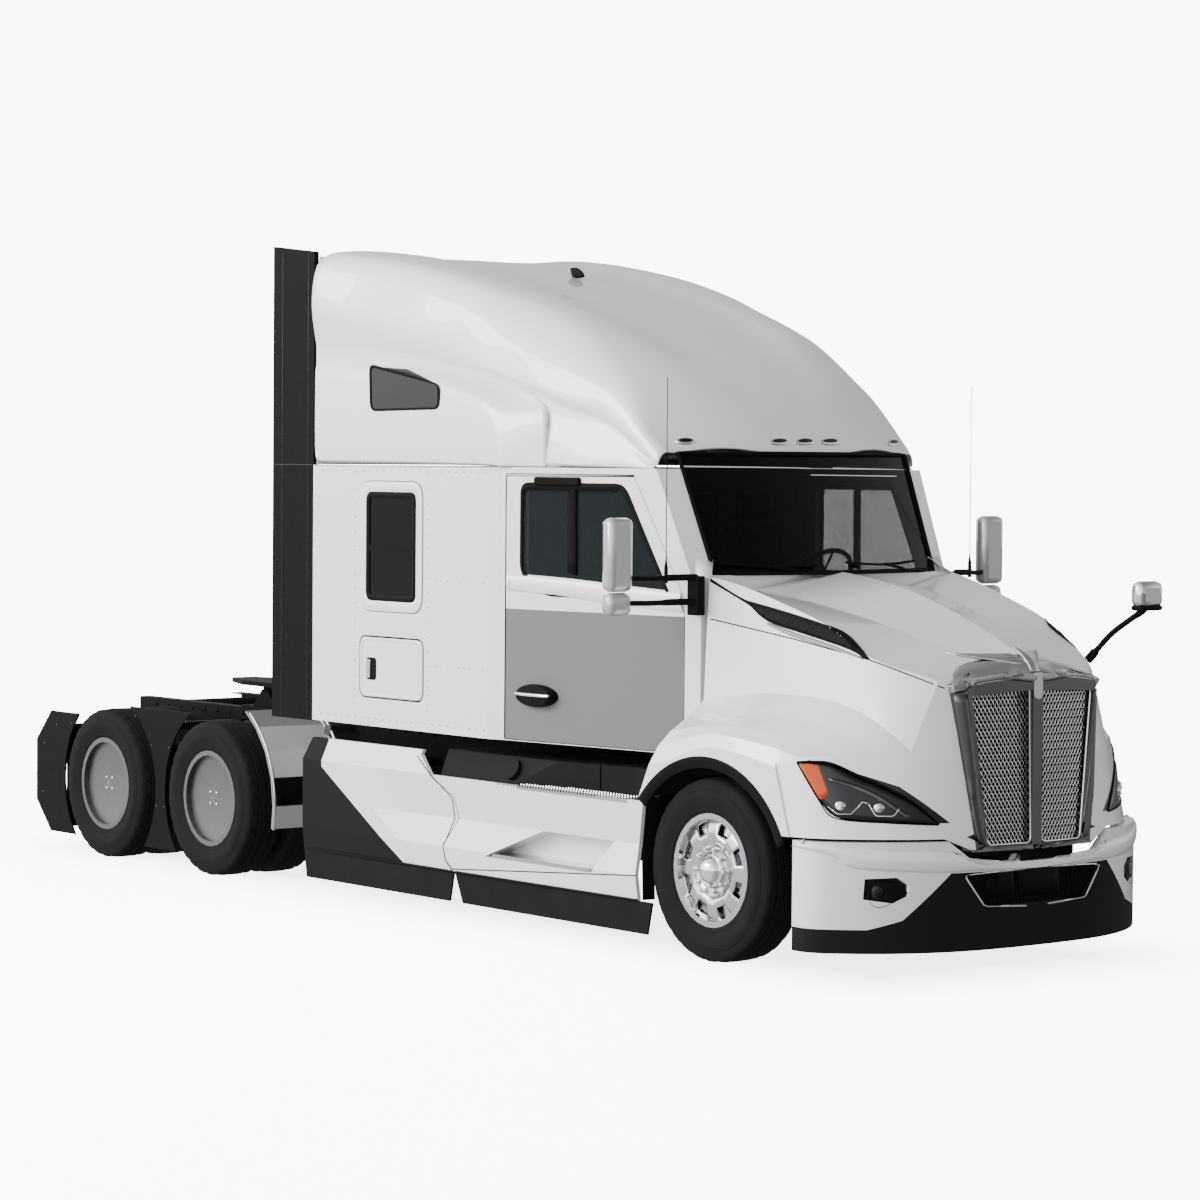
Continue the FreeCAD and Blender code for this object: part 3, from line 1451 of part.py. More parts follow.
def hood_below():
    """Everything under the hood's lower edge: bumper line, arches and step line."""
    low = [(-front_overhang * 1.1, 0), (-front_overhang * 1.1, grille_low),
           (-front_overhang * 0.9, grille_low), (front_overhang, grille_low), (front_overhang, 0)]
    base = slab(low, "x", -half_width * 2, half_width * 2)
    flank = [(grille_low_half, 0), (grille_low_half, grille_low), (grille_low_half + grille_shoulder, hood_bottom),
             (half_width * 2, hood_bottom), (half_width * 2, 0)]
    side = slab(flank, "y", -front_overhang * 1.1, front_overhang)
    rear = block(0, half_width * 2, 0, front_overhang, 0, fender_foot_z - panel_gap)
    arch = rod_x(arch_radius, 0, half_width * 2, arch_y, arch_z)
    cut = [base]
    for piece in (side, rear, arch):
        cut.append(piece)
        cut.append(mirrored(piece))
    return cut


grille_low = 681.0
grille_low_half = 428.0
grille_top_half = 539.0
grille_shoulder = 180.0
grille_top = 1569.0


def lamp_prism():
    """The left headlamp's outline, carried back from the nose."""
    outline = [(x * half_width, z * cowl_height) for x, z in headlamp_shares]
    return slab(outline, "y", -front_overhang - overrun, headlamp_back_y)


headlamp_shares = ((0.47, 0.400), (0.66, 0.492), (0.93, 0.555), (0.955, 0.540), (0.90, 0.455), (0.78, 0.402))
headlamp_back_y = -480.0


def grille_prism(grow, low, high):
    """The grille's outline from the front between two y levels."""
    low_z = grille_low - grow
    outline = [(-grille_low_half - grow, low_z), (grille_low_half + grow, low_z),
               (grille_top_half + grow, grille_top + grow), (0, grille_top + grow * 1.5 + grille_peak),
               (-grille_top_half - grow, grille_top + grow)]
    return slab(outline, "y", low, high)


grille_peak = 60.0
frame_band = 80.0


def hood_shell():
    """The tilting hood with its fenders in one moulding, open below and at the back."""
    outer = hood_volume(0)
    inner = hood_volume(hood_wall)
    shell = outer.cut(inner)
    for piece in hood_below():
        shell = shell.cut(piece)
    shell = shell.cut(grille_prism(0, -front_overhang * 1.2, -front_overhang * 0.82))
    shell = shell.cut(lamp_prism())
    shell = shell.cut(mirrored(lamp_prism()))
    return shell


def headlamp():
    band = hood_volume(0).cut(hood_volume(hood_wall * 2.2))
    return band.common(lamp_prism())


def grille_surround():
    """The bright frame round the grille, bowed forward, with its middle bar."""
    front = -front_overhang + overrun / 2
    frame = grille_prism(0, -front_overhang * 1.05, -front_overhang * 0.90)
    rear = -front_overhang * 0.88
    turn = grille_top_half - frame_band * 1.15
    bow = Part.Arc(Vector(-turn, front + grille_bow, 0), Vector(0, front, 0), Vector(turn, front + grille_bow, 0)).toShape()
    wide = turn + frame_band * 1.5
    back = Part.makePolygon([Vector(turn, front + grille_bow, 0), Vector(wide, front + grille_bow * 4.5, 0),
                             Vector(wide, rear, 0), Vector(-wide, rear, 0), Vector(-wide, front + grille_bow * 4.5, 0),
                             Vector(-turn, front + grille_bow, 0)])
    keep = Part.Face(Part.Wire([bow] + back.Edges)).extrude(Vector(0, 0, cowl_height))
    frame = frame.common(keep)
    for side in (1, -1):
        frame = frame.cut(window_prism(side))
    return frame


def window_prism(side):
    """One of the two mesh windows."""
    inner = grille_bar / 2
    low = grille_low + grille_bar / 3
    top = grille_top - frame_band / 2
    low_x = grille_low_half - frame_band
    top_x = grille_top_half - frame_band
    outline = [(side * inner, low), (side * low_x, low), (side * top_x, top - overrun), (side * inner, top)]
    if side < 0:
        outline.reverse()
    return slab(outline, "y", -front_overhang * 1.1, -front_overhang * 0.8)


grille_bow = 26.0
grille_bar = 75.0
mesh_thickness = 10.0
mesh_setback = 45.0


def grille_mesh():
    """The two mesh panels behind the windows."""
    panels = []
    y = -front_overhang + mesh_setback + grille_bow
    for side in (1, -1):
        panels.append(window_prism(side).common(
            block(-half_width, half_width, y, y + mesh_thickness, 0, cowl_height)))
    return Part.makeCompound(panels)


def fender_liner():
    """The black inner arch over a front wheel."""
    radius = arch_radius - liner_gap
    ring = rod_x(radius, liner_inner_x, half_width - hood_wall * 2, arch_y, arch_z)
    ring = ring.cut(rod_x(radius - liner_wall, liner_inner_x - overrun, half_width, arch_y, arch_z))
    ring = ring.cut(block(0, half_width * 2, -front_overhang, 0, -arch_radius, hood_bottom + overrun))
    ring = ring.cut(block(0, half_width * 2, 0, front_overhang, -arch_radius, fender_foot_z))
    rim = rod_x(arch_radius - seat_gap, half_width - hood_wall * 2, half_width - hood_wall, arch_y, arch_z)
    rim = rim.cut(rod_x(radius - liner_wall, half_width - hood_wall * 3, half_width, arch_y, arch_z))
    rim = rim.cut(block(0, half_width * 2, -front_overhang, 0, -arch_radius, hood_bottom + overrun))
    rim = rim.cut(block(0, half_width * 2, 0, front_overhang, -arch_radius, fender_foot_z))
    swing = block(0, liner_swing_x, liner_swing_y, front_overhang, 0, cowl_height)
    return fuse([ring, rim]).cut(swing)


def hood_mirror():
    """The small round-cornered mirror on its arm at the left of the hood."""
    head = block(hood_mirror_x - hood_mirror_half, hood_mirror_x + hood_mirror_half,
                 hood_mirror_y - hood_mirror_half / 2, hood_mirror_y + hood_mirror_half / 2,
                 hood_mirror_z - hood_mirror_half, hood_mirror_z + hood_mirror_half)
    head = head.makeChamfer(mirror_round, [e for e in head.Edges if abs(e.Vertexes[0].Y - e.Vertexes[1].Y) > 1])
    start = Vector(hood_mirror_base_x, hood_mirror_base_y, hood_mirror_base_z)
    finish = Vector(hood_mirror_x, hood_mirror_y, hood_mirror_z - hood_mirror_half / 2)
    return fuse([head, bar(arm_radius, start, finish)]).cut(hood_volume(0))


hood_mirror_x = 1000.0
hood_mirror_y = -1180.0
hood_mirror_z = 1996.0
hood_mirror_half = 95.0
hood_mirror_base_x = 780.0
hood_mirror_base_y = -848.0
hood_mirror_base_z = 1610.0


# Bumper


def bumper_plan(inset):
    """The bumper's outline from above: the share table follows its half width."""
    points = []
    for x, y in bumper_shares:
        points.append(Vector(x * (half_width - inset), -y * front_overhang + inset, 0))
    full = [Vector(-v.x, v.y, v.z) for v in reversed(points[1:])] + points
    curve = spline(full)
    back = Part.makePolygon([full[-1], Vector(full[-1].x, bumper_rear_y, 0), Vector(full[0].x, bumper_rear_y, 0),
                             full[0]])
    return Part.Face(Part.Wire([curve] + back.Edges))


bumper_shares = ((0.0, 1.000), (0.25, 0.993), (0.42, 0.973), (0.62, 0.917), (0.80, 0.826), (0.92, 0.735),
                 (0.98, 0.670), (1.0, 0.620))


def bumper_ring(low, high):
    outer = bumper_plan(0).extrude(Vector(0, 0, high - low))
    inner = bumper_plan(bumper_wall).extrude(Vector(0, 0, high - low))
    ring = outer.cut(inner)
    ring = ring.cut(block(-half_width + bumper_wall, half_width - bumper_wall, bumper_rear_y - overrun,
                          bumper_rear_y + overrun, 0, high))
    ring.translate(Vector(0, 0, low))
    return ring


def valance_zone():
    """The black part of the bumper seen from the front."""
    outline = [(x * half_width, z * bumper_top) for x, z in valance_shares]
    full = outline + [(-x, z) for x, z in reversed(outline)]
    return slab(full, "y", -front_overhang - overrun, bumper_rear_y + overrun)


valance_shares = ((0.48, 0.775), (0.69, 0.450), (0.82, 0.385), (1.10, 0.385), (1.10, -0.10))


def bumper_shell():
    ring = bumper_ring(valance_bottom, bumper_top)
    wide = grille_low_half + notch_side
    notch = slab([(-wide, bumper_top + overrun), (-grille_low_half, bumper_centre_top),
                  (grille_low_half, bumper_centre_top), (wide, bumper_top + overrun)],
                 "y", -front_overhang - overrun, -front_overhang * 0.7)
    shell = ring.cut(notch).cut(valance_zone())
    return shell.cut(fog_prism(0)).cut(mirrored(fog_prism(0)))


notch_side = 200.0
fog_shares = ((0.665, 0.62), (0.665, 0.70), (0.71, 0.755), (0.83, 0.745), (0.835, 0.60), (0.72, 0.57))


def fog_prism(gap):
    """The outline of the left lamp pod in the bumper, drawn in by a gap."""
    face = Part.Face(closed_wire([(x * half_width, z * bumper_top) for x, z in fog_shares], "y", -front_overhang))
    if gap:
        face = face.makeOffset2D(-gap, 2)
    return face.extrude(Vector(0, front_overhang / 2, 0))


def bumper_valance():
    ring = bumper_ring(valance_bottom, bumper_top).common(valance_zone())
    ring = ring.cut(bumper_grille_prism())
    outer = bumper_plan(bumper_wall / 3).extrude(Vector(0, 0, bumper_top))
    inner = bumper_plan(bumper_wall).extrude(Vector(0, 0, bumper_top))
    pod = outer.cut(inner).common(fog_prism(seat_gap))
    return Part.makeCompound([ring, pair(pod)])


def bumper_grille_prism():
    outline = [(-x, z) for x, z in bumper_grille_outline] + list(reversed(bumper_grille_outline))
    return slab(outline, "y", -front_overhang - overrun, -front_overhang * 0.8)


bumper_grille_shares = ((0.302, 0.529), (0.416, 0.758))
bumper_grille_outline = [(x * half_width, z * bumper_top) for x, z in bumper_grille_shares]


def bumper_grille():
    outer = bumper_plan(bumper_wall / 2).extrude(Vector(0, 0, bumper_top))
    inner = bumper_plan(bumper_wall).extrude(Vector(0, 0, bumper_top))
    return outer.cut(inner).common(bumper_grille_prism())


# Side fairings


def seam_points(gap):
    """The seam between the two sections, from the top down, moved back by a gap."""
    return [(y + gap, share * frame_height) for y, share in zip(seam_ys, seam_z_shares)]


def rear_fairing():
    seam = seam_points(fairing_gap)
    outline = seam + [(fairing_rear_y, fairing_low), (fairing_rear_y, crease_z), (fairing_rear_top_y, fairing_top * 2)]
    outline[0] = (seam[0][0], fairing_top * 2)
    return fairing_skin().common(slab(outline, "x", 0, half_width * 2))


def niche_outline():
    """The lower step's recess from the side."""
    return [(niche_rear_y, ledge_z - tread_thickness), (niche_top_y, waist_z), (niche_front_top_y, waist_z),
            (niche_front_y, ledge_z - tread_thickness)]


def front_fairing():
    """The fairing below the door, with the recess of the lower step."""
    seam = seam_points(0)[2:]
    outline = [(fairing_front_low_y, fairing_low), (fairing_front_waist_y, waist_z), (fairing_front_top_y, crease_z),
               (tread_front_y, crease_z), (tread_front_y, crease_z - tread_thickness), (tread_rear_y, crease_z - tread_thickness),
               (tread_rear_y, crease_z), (seam[0][0], crease_z)] + seam
    skin = fairing_skin().common(slab(outline, "x", 0, half_width * 2))
    opening = niche_outline()
    pocket = slab(opening, "x", half_width - niche_depth, half_width + overrun)
    tray = Part.Face(closed_wire(opening, "x", half_width - niche_depth - fairing_wall)).makeOffset2D(fairing_wall, 2)
    tray = tray.extrude(Vector(niche_depth - overrun, 0, 0)).cut(beyond_skin(ledge_heights, 0))
    return fuse([skin, tray]).cut(pocket)


niche_depth = 150.0
niche_rear_y = 1978.0
niche_top_y = 1453.0
niche_front_top_y = 793.0
niche_front_y = 967.0


def step_treads():
    """The upper and lower perforated treads of one side."""
    corners = [(half_width, tread_front_y), (half_width, tread_rear_y), (tank_outer_x, tread_rear_y),
               (tread_inner_front_x, tread_inner_front_y), (tread_inner_front_x, tread_front_y)]
    top = crease_z
    upper = slab(corners, "z", top - tread_thickness + seat_gap, top)
    low = ledge_z - tread_thickness + seat_gap
    lower = block(half_width - niche_depth + seat_gap, half_width, niche_front_y + overrun, niche_rear_y - overrun * 4,
                  low, low + tread_thickness)
    return upper, lower


tread_thickness = 22.0


def fairing_lip():
    """The return at the front edge of the fairing, around the front wheel."""
    front = [(fairing_front_low_y, fairing_low), (fairing_front_waist_y, waist_z), (fairing_front_top_y, crease_z)]
    back = [(y + fairing_gap, z) for y, z in reversed(front)]
    return slab(front + back, "x", half_width - lip_depth, half_width - fairing_wall - waist_depth - seat_gap)


lip_depth = 140.0


def fairing_rubbers():
    """The two rubber skirts of one side."""
    front_y = fairing_front_low_y - lip_depth * 0.9
    rear_y = seam_ys[-1]
    front = slab([(front_y + rubber_sweep, rubber_low), (front_y, fairing_low - seat_gap), (rear_y, fairing_low - seat_gap),
                  (rear_y - rubber_sweep * 2, rubber_low)], "x", half_width - foot_lean - rubber_thickness, half_width - foot_lean)
    rear = slab([(rear_y + rubber_sweep + fairing_gap, rubber_low), (rear_y + fairing_gap, fairing_low - seat_gap),
                 (fairing_rear_y, fairing_low - seat_gap), (fairing_rear_y - rubber_sweep * 0.7, rubber_low)],
                "x", half_width - foot_lean - rubber_thickness, half_width - foot_lean)
    return [front, rear]


rubber_sweep = 40.0


def wheel_at(shape, y):
    moved = shape.copy()
    moved.translate(Vector(0, y, tyre_radius))
    return moved


def main():
    os.makedirs("parts", exist_ok=True)
    export("frame_rails", frame_rails())
    export("crossmembers", crossmembers())
    export("front_axle_beam", front_axle_beam())
    export("drive_axles", Part.makeCompound([drive_axle(y) for y in drive_axle_ys]))
    export("suspension", suspension())
    export("engine_block", engine_block())
    export("driveline", driveline())
    export("radiator", radiator())
    export("fuel_tanks", Part.makeCompound([pair(fuel_tank()), pair(battery_box())]))
    export("fifth_wheel_plate", fifth_wheel_plate())
    export("fifth_wheel_base", fifth_wheel_base())
    export("deck_plate", deck_plate())
    export("quarter_fenders", pair(quarter_fender()))
    export("wheel_panels", wheel_panels())
    export("tail_lamps", tail_lamps())

    outer = half_width - tyre_width / 2
    front_x = front_rim_face - rim_width / 2
    front = (wheel_at(tyre(front_x), 0), wheel_at(front_rim(), 0))
    export("front_tyre_left", front[0])
    export("front_rim_left", front[1])
    export("front_tyre_right", mirrored(front[0]))
    export("front_rim_right", mirrored(front[1]))
    twin = Part.makeCompound([tyre(outer), tyre(outer - dual_spacing)])
    rims = drive_rims()
    for number, y in zip(("1", "2"), drive_axle_ys):
        export("drive_tyres_" + number + "_left", wheel_at(twin, y))
        export("drive_rims_" + number + "_left", wheel_at(rims, y))
        export("drive_tyres_" + number + "_right", mirrored(wheel_at(twin, y)))
        export("drive_rims_" + number + "_right", mirrored(wheel_at(rims, y)))
    export("knuckle_left", knuckle())
    export("knuckle_right", mirrored(knuckle()))

    export("cab_shell", cab_shell())
    export("cab_glass", Part.makeCompound([windscreen(), sleeper_window(), mirrored(sleeper_window()),
                                           roof_glass(), mirrored(roof_glass())]))
    export("roof_cap", roof_cap())
    export("roof_lamps", roof_lamps())
    export("side_extenders", pair(side_extender()))
    export("seats", pair(seat()))
    export("bunk", bunk())
    export("dashboard", dashboard())
    export("door_mirrors", pair(door_mirror()))
    for name, piece in (("door_NAME_shell", door_shell()), ("door_NAME_glass", door_glass()),
                        ("luggage_door_NAME", luggage_door())):
        export(name.replace("NAME", "left"), piece)
        export(name.replace("NAME", "right"), mirrored(piece))

    export("hood_shell", hood_shell())
    export("headlamps", pair(headlamp()))
    export("grille_surround", grille_surround())
    export("grille_mesh", grille_mesh())
    export("fender_liners", pair(fender_liner()))
    export("hood_mirror", hood_mirror())
    export("bumper_shell", bumper_shell())
    export("bumper_valance", bumper_valance())
    export("bumper_grille", bumper_grille())

    export("fairings_front", pair(front_fairing()))
    export("fairings_rear", pair(rear_fairing()))
    treads = step_treads()
    export("step_treads", Part.makeCompound([pair(piece) for piece in treads]))
    rubbers = fairing_rubbers() + [fairing_lip()]
    export("fairing_rubbers", Part.makeCompound([pair(piece) for piece in rubbers]))


main()
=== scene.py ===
import json
import math

import bmesh
import bpy
from mathutils import Matrix, Vector
from mathutils.bvhtree import BVHTree


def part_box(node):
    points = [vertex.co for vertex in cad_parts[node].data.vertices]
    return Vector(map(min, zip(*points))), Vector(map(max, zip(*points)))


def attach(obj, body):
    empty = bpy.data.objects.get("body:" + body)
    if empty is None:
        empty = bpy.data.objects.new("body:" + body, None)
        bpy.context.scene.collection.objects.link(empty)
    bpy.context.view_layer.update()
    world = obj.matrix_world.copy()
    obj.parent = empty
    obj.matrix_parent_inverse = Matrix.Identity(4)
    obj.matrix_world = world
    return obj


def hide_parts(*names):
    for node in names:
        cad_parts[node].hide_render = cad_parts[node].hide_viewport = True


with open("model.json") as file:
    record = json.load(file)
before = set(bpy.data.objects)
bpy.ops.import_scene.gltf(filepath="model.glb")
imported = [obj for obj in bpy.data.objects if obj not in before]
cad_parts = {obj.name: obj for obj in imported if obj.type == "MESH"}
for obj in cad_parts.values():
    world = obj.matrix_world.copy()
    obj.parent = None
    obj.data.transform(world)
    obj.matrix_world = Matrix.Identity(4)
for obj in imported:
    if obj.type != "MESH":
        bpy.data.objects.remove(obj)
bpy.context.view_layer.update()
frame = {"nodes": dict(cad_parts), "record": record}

# The truck faces -Y, +X is its left side and +Z is up. Shapes are given in millimetres, with y
# measured from the front axle, and nose_shift, in metres, puts them in the frame.
nose_shift = -2.995
tyre_radius = 507.0
drive_axles = ((1, 5030.0), (2, 6350.0))
two_sides = (("left", 1), ("right", -1))


# Socket maths and materials


class Reading:
    """One socket of a material, which can be added and multiplied like a number."""

    def __init__(self, finish, socket):
        self.finish = finish
        self.socket = socket

    def math(self, operation, first, second=None, third=None):
        inputs = {0: first}
        if second is not None:
            inputs[1] = second
        if third is not None:
            inputs[2] = third
        return self.finish.node("ShaderNodeMath", {"operation": operation}, inputs)

    def __add__(self, other):
        return self.math("ADD", self, other)

    __radd__ = __add__

    def __sub__(self, other):
        return self.math("SUBTRACT", self, other)

    def __rsub__(self, other):
        return self.math("SUBTRACT", other, self)

    def __mul__(self, other):
        return self.math("MULTIPLY", self, other)

    __rmul__ = __mul__

    def __truediv__(self, other):
        return self.math("DIVIDE", self, other)

    def __gt__(self, other):
        return self.math("GREATER_THAN", self, other)

    def __lt__(self, other):
        return self.math("LESS_THAN", self, other)

    def __abs__(self):
        return self.math("ABSOLUTE", self)

    def at_least(self, least):
        return self.math("MAXIMUM", self, least)

    def root(self):
        return self.math("SQRT", self)

    def clamped(self):
        return self.finish.node("ShaderNodeClamp", {}, {0: self})


class Finish:
    """A material on one Principled shader. node() adds any node and returns its first output."""

    def __init__(self, name, colour, roughness, metallic=0.0, **constants):
        self.material = bpy.data.materials.new(name)
        self.material.use_nodes = True
        self.tree = self.material.node_tree
        self.shader = self.tree.nodes["Principled BSDF"]
        self.set("Base Color", colour)
        self.set("Roughness", roughness)
        self.set("Metallic", metallic)
        for key, value in constants.items():
            self.set(key.replace("_", " "), value)

    def set(self, name, value):
        self.connect(self.shader.inputs[name], value)

    def connect(self, socket, value):
        if isinstance(value, Reading):
            self.tree.links.new(value.socket, socket)
        elif isinstance(value, (tuple, list)) and len(value) == 3 and socket.type == "RGBA":
            socket.default_value = (*value, 1.0)
        else:
            socket.default_value = value

    def node(self, kind, settings, inputs, output=0):
        node = self.tree.nodes.new(kind)
        for key, value in settings.items():
            setattr(node, key, value)
        for key, value in inputs.items():
            self.connect(node.inputs[key], value)
        return Reading(self, node.outputs[output])

    def place(self):
        """The point on the object, in metres."""
        return self.node("ShaderNodeTexCoord", {}, {}, "Object")

    def axes(self):
        split = self.node("ShaderNodeSeparateXYZ", {}, {0: self.place()})
        return [Reading(self, split.socket.node.outputs[i]) for i in range(3)]

    def noise(self, scale, detail=2.0, vector=None):
        return self.node("ShaderNodeTexNoise", {}, {"Vector": vector or self.place(), "Scale": scale,
                                                    "Detail": detail})

    def blend(self, factor, first, second):
        return self.node("ShaderNodeMix", {"data_type": "RGBA"}, {0: factor, 6: first, 7: second}, 2)

    def bump(self, height, strength, distance):
        values = {"Height": height, "Strength": strength, "Distance": distance}
        self.set("Normal", self.node("ShaderNodeBump", {}, values))


dull_gloss = 0.03
pane_gloss = 0.12


def paint(name, colour, metallic, roughness):
    """Clear-coated body paint with a faint orange peel."""
    finish = Finish(name, colour, roughness, metallic, Coat_Weight=1.0, Coat_Roughness=0.04)
    finish.set("Roughness", finish.noise(9.0) * 0.06 + (roughness - 0.03))
    finish.bump(finish.noise(70.0, 1.0), 0.02, 0.002)
    return finish.material


def plastic(name, colour, roughness, grain):
    """Moulded plastic with a fine leather grain."""
    finish = Finish(name, colour, roughness, Specular_IOR_Level=dull_gloss)
    cells = finish.node("ShaderNodeTexVoronoi", {}, {"Vector": finish.place(), "Scale": grain})
    finish.bump(cells, 0.12, 0.001)
    finish.set("Roughness", finish.noise(14.0) * 0.12 + (roughness - 0.06))
    return finish.material


def metal(name, colour, roughness, streak):
    """Polished or satin metal with slight cloudiness."""
    finish = Finish(name, colour, roughness, 1.0)
    finish.set("Roughness", finish.noise(streak) * roughness * 0.8 + roughness * 0.6)
    return finish.material


def iron(name, colour, roughness):
    """Painted casting with a sandy skin."""
    finish = Finish(name, colour, roughness, Specular_IOR_Level=dull_gloss)
    finish.bump(finish.noise(160.0, 4.0), 0.25, 0.002)
    finish.set("Base Color", finish.blend(finish.noise(5.0), colour, tuple(c * 1.6 for c in colour)))
    return finish.material


def rubber(name, colour, roughness):
    """Matt rubber with a fine grain and slight mottling."""
    finish = Finish(name, colour, roughness, Specular_IOR_Level=dull_gloss)
    finish.bump(finish.noise(220.0, 3.0), 0.2, 0.001)
    finish.set("Base Color", finish.blend(finish.noise(6.0), colour, tuple(c * 1.5 for c in colour)))
    return finish.material


def glass(name, colour, alpha, roughness=0.02):
    """A tinted pane or lens; alpha is how much of the light it stops."""
    finish = Finish(name, colour, roughness, 0.0, Alpha=alpha, Specular_IOR_Level=pane_gloss)
    finish.set("Roughness", finish.noise(3.0) * 0.02 + roughness)
    return finish.material


def cloth(name, colour, thread):
    """Woven cloth: two crossed ribs, thread metres apart."""
    finish = Finish(name, colour, 0.85, 0.0, Sheen_Weight=0.1, Specular_IOR_Level=0.2)
    x, y, z = finish.axes()
    turns = 2 * math.pi / thread
    warp = finish.node("ShaderNodeMath", {"operation": "SINE"}, {0: (x + z) * turns})
    weft = finish.node("ShaderNodeMath", {"operation": "SINE"}, {0: (y + z) * turns})
    finish.bump(warp * weft, 0.4, 0.0006)
    finish.set("Base Color", finish.blend(finish.noise(30.0), colour, tuple(c * 1.5 for c in colour)))
    return finish.material


cab_paint = paint("cab_paint", (0.80, 0.81, 0.82), 0.1, 0.36)
hood_paint = paint("hood_paint", (0.78, 0.79, 0.80), 0.15, 0.36)
chassis_black = iron("chassis_black", (0.0045, 0.0045, 0.0047), 0.5)
axle_iron = iron("axle_iron", (0.005, 0.005, 0.0053), 0.55)
engine_grey = iron("engine_grey", (0.03, 0.03, 0.032), 0.5)
tyre_rubber = rubber("tyre_rubber", (0.0095, 0.0095, 0.0098), 0.72)
skirt_rubber = rubber("skirt_rubber", (0.0085, 0.0085, 0.0088), 0.6)
polished_alloy = metal("polished_alloy", (0.50, 0.51, 0.52), 0.16, 6.0)
cover_alloy = metal("cover_alloy", (0.14, 0.142, 0.146), 0.45, 9.0)
bright_trim = metal("bright_trim", (0.50, 0.51, 0.52), 0.18, 5.0)
mesh_steel = metal("mesh_steel", (0.62, 0.63, 0.64), 0.24, 12.0)
trim_black = plastic("trim_black", (0.006, 0.006, 0.0063), 0.45, 700.0)
panel_black = plastic("panel_black", (0.0115, 0.0115, 0.0118), 0.5, 900.0)
mirror_chrome = metal("mirror_chrome", (0.70, 0.71, 0.72), 0.10, 4.0)
seat_cloth = cloth("seat_cloth", (0.004, 0.004, 0.0045), 0.004)
bunk_cloth = cloth("bunk_cloth", (0.05, 0.05, 0.055), 0.006)
tinted_glass = glass("tinted_glass", (0.002, 0.0025, 0.003), 0.76)
dark_pane = glass("dark_pane", (0.002, 0.002, 0.002), 0.985)
door_glass = glass("door_glass", (0.02, 0.026, 0.028), 0.45)
lamp_lens = glass("lamp_lens", (0.01, 0.01, 0.011), 0.45)
tail_red = glass("tail_red", (0.20, 0.006, 0.006), 0.95, 0.15)

grille_satin = metal("grille_satin", (0.11, 0.112, 0.115), 0.34, 8.0)
amber_lens = glass("amber_lens", (0.55, 0.09, 0.03), 0.97, 0.12)
lamp_white = metal("lamp_white", (0.75, 0.76, 0.78), 0.2, 10.0)
lamp_smoke = metal("lamp_smoke", (0.035, 0.036, 0.038), 0.25, 10.0)
seat_stripe = cloth("seat_stripe", (0.30, 0.035, 0.015), 0.003)
mirror_silver = paint("mirror_silver", (0.42, 0.43, 0.44), 0.5, 0.22)


belt_height = 1.868
panel_foot_y = 2.801
panel_foot_z = 0.285
panel_lean = 1.672
panel_back = 3.686


def split_paint(name, first, second, behind, roughness=0.34):
    """Body paint in two colours, the second one real black paint on the fairing and painted shade on the door;
    behind() gives the second one's mask from a place's y and z.
    """
    finish = Finish(name, first, roughness, 0.2, Coat_Roughness=0.06, Specular_IOR_Level=0.03)
    mask = behind(*finish.axes()[1:])
    finish.set("Base Color", finish.blend(mask, first, second))
    finish.set("Coat Weight", 1.0 - mask)
    finish.set("Metallic", 0.2 - mask * 0.2)
    finish.set("Roughness", mask * 0.2 + roughness)
    finish.bump(finish.noise(70.0, 1.0), 0.02, 0.002)
    return finish.material


# The mask of the door's painted shade: all of the door below the belt.
def painted_shade_below_belt(y, z):
    return z < belt_height


def behind_diagonal(y, z):
    """Behind the slanted edge of the black rear panel of the side fairing."""
    edge = (z - panel_foot_z) * panel_lean + (panel_foot_y + nose_shift)
    return ((y > edge) + (y > panel_back + nose_shift)).clamped()


# The door's dark grey below the belt is painted shade for the darker look of its slanted face; above the belt it is
# white body paint.
door_white_painted_shade = split_paint("door_white_painted_shade", (0.80, 0.81, 0.82), (0.16, 0.163, 0.167), painted_shade_below_belt)
fairing_paint = split_paint("fairing_paint", (0.80, 0.81, 0.82), (0.0115, 0.0115, 0.0118), behind_diagonal)

slot_finish = {
    "cab_paint": cab_paint, "hood_paint": hood_paint, "chassis_black": chassis_black, "axle_iron": axle_iron,
    "engine_grey": engine_grey, "tyre": tyre_rubber, "skirt_rubber": skirt_rubber,
    "polished_alloy": polished_alloy, "cover_alloy": cover_alloy, "bright_trim": bright_trim,
    "mesh_steel": mesh_steel, "tinted_glass": tinted_glass, "trim_black": trim_black,
    "mirror_shell": mirror_chrome, "seat_cloth": seat_cloth, "bunk_cloth": bunk_cloth, "lamp_lens": lamp_lens,
    "tail_lamp_red": tail_red,
}

own_finish = {
    "door_left_shell": door_white_painted_shade, "door_right_shell": door_white_painted_shade, "fairings_rear": fairing_paint,
    "fuel_tanks": panel_black, "grille_surround": grille_satin, "deck_plate": chassis_black,
    "door_left_glass": door_glass, "door_right_glass": door_glass, "headlamps": lamp_smoke,
    "bumper_grille": chassis_black, "roof_lamps": lamp_smoke, "bumper_valance": panel_black,
    "tail_lamps": panel_black,
}


def dress_nodes():
    """Every carried-over node gets its own finish, or else the finish of its slot."""
    for part in frame["record"]["subparts"]:
        materials = frame["nodes"][part["node"]].data.materials
        materials.clear()
        materials.append(own_finish.get(part["node"], slot_finish[part["material_slot"]]))


dress_nodes()


# Making pieces

piece_slot = {material: slot for slot, material in slot_finish.items()}
piece_slot[panel_black] = "trim_black"
piece_slot[door_glass] = piece_slot[dark_pane] = "tinted_glass"


def at(x, y, z):
    """A place given in millimetres from the front axle."""
    return Vector((x * 0.001, y * 0.001 + nose_shift, z * 0.001))


def placed(name, data):
    """A new object in the scene that shows some data."""
    made = bpy.data.objects.new(name, data)
    bpy.context.scene.collection.objects.link(made)
    return made


def rounded(made, levels):
    """A piece whose faces are divided and rounded."""
    smooth = made.modifiers.new("smooth", "SUBSURF")
    smooth.levels = smooth.render_levels = levels


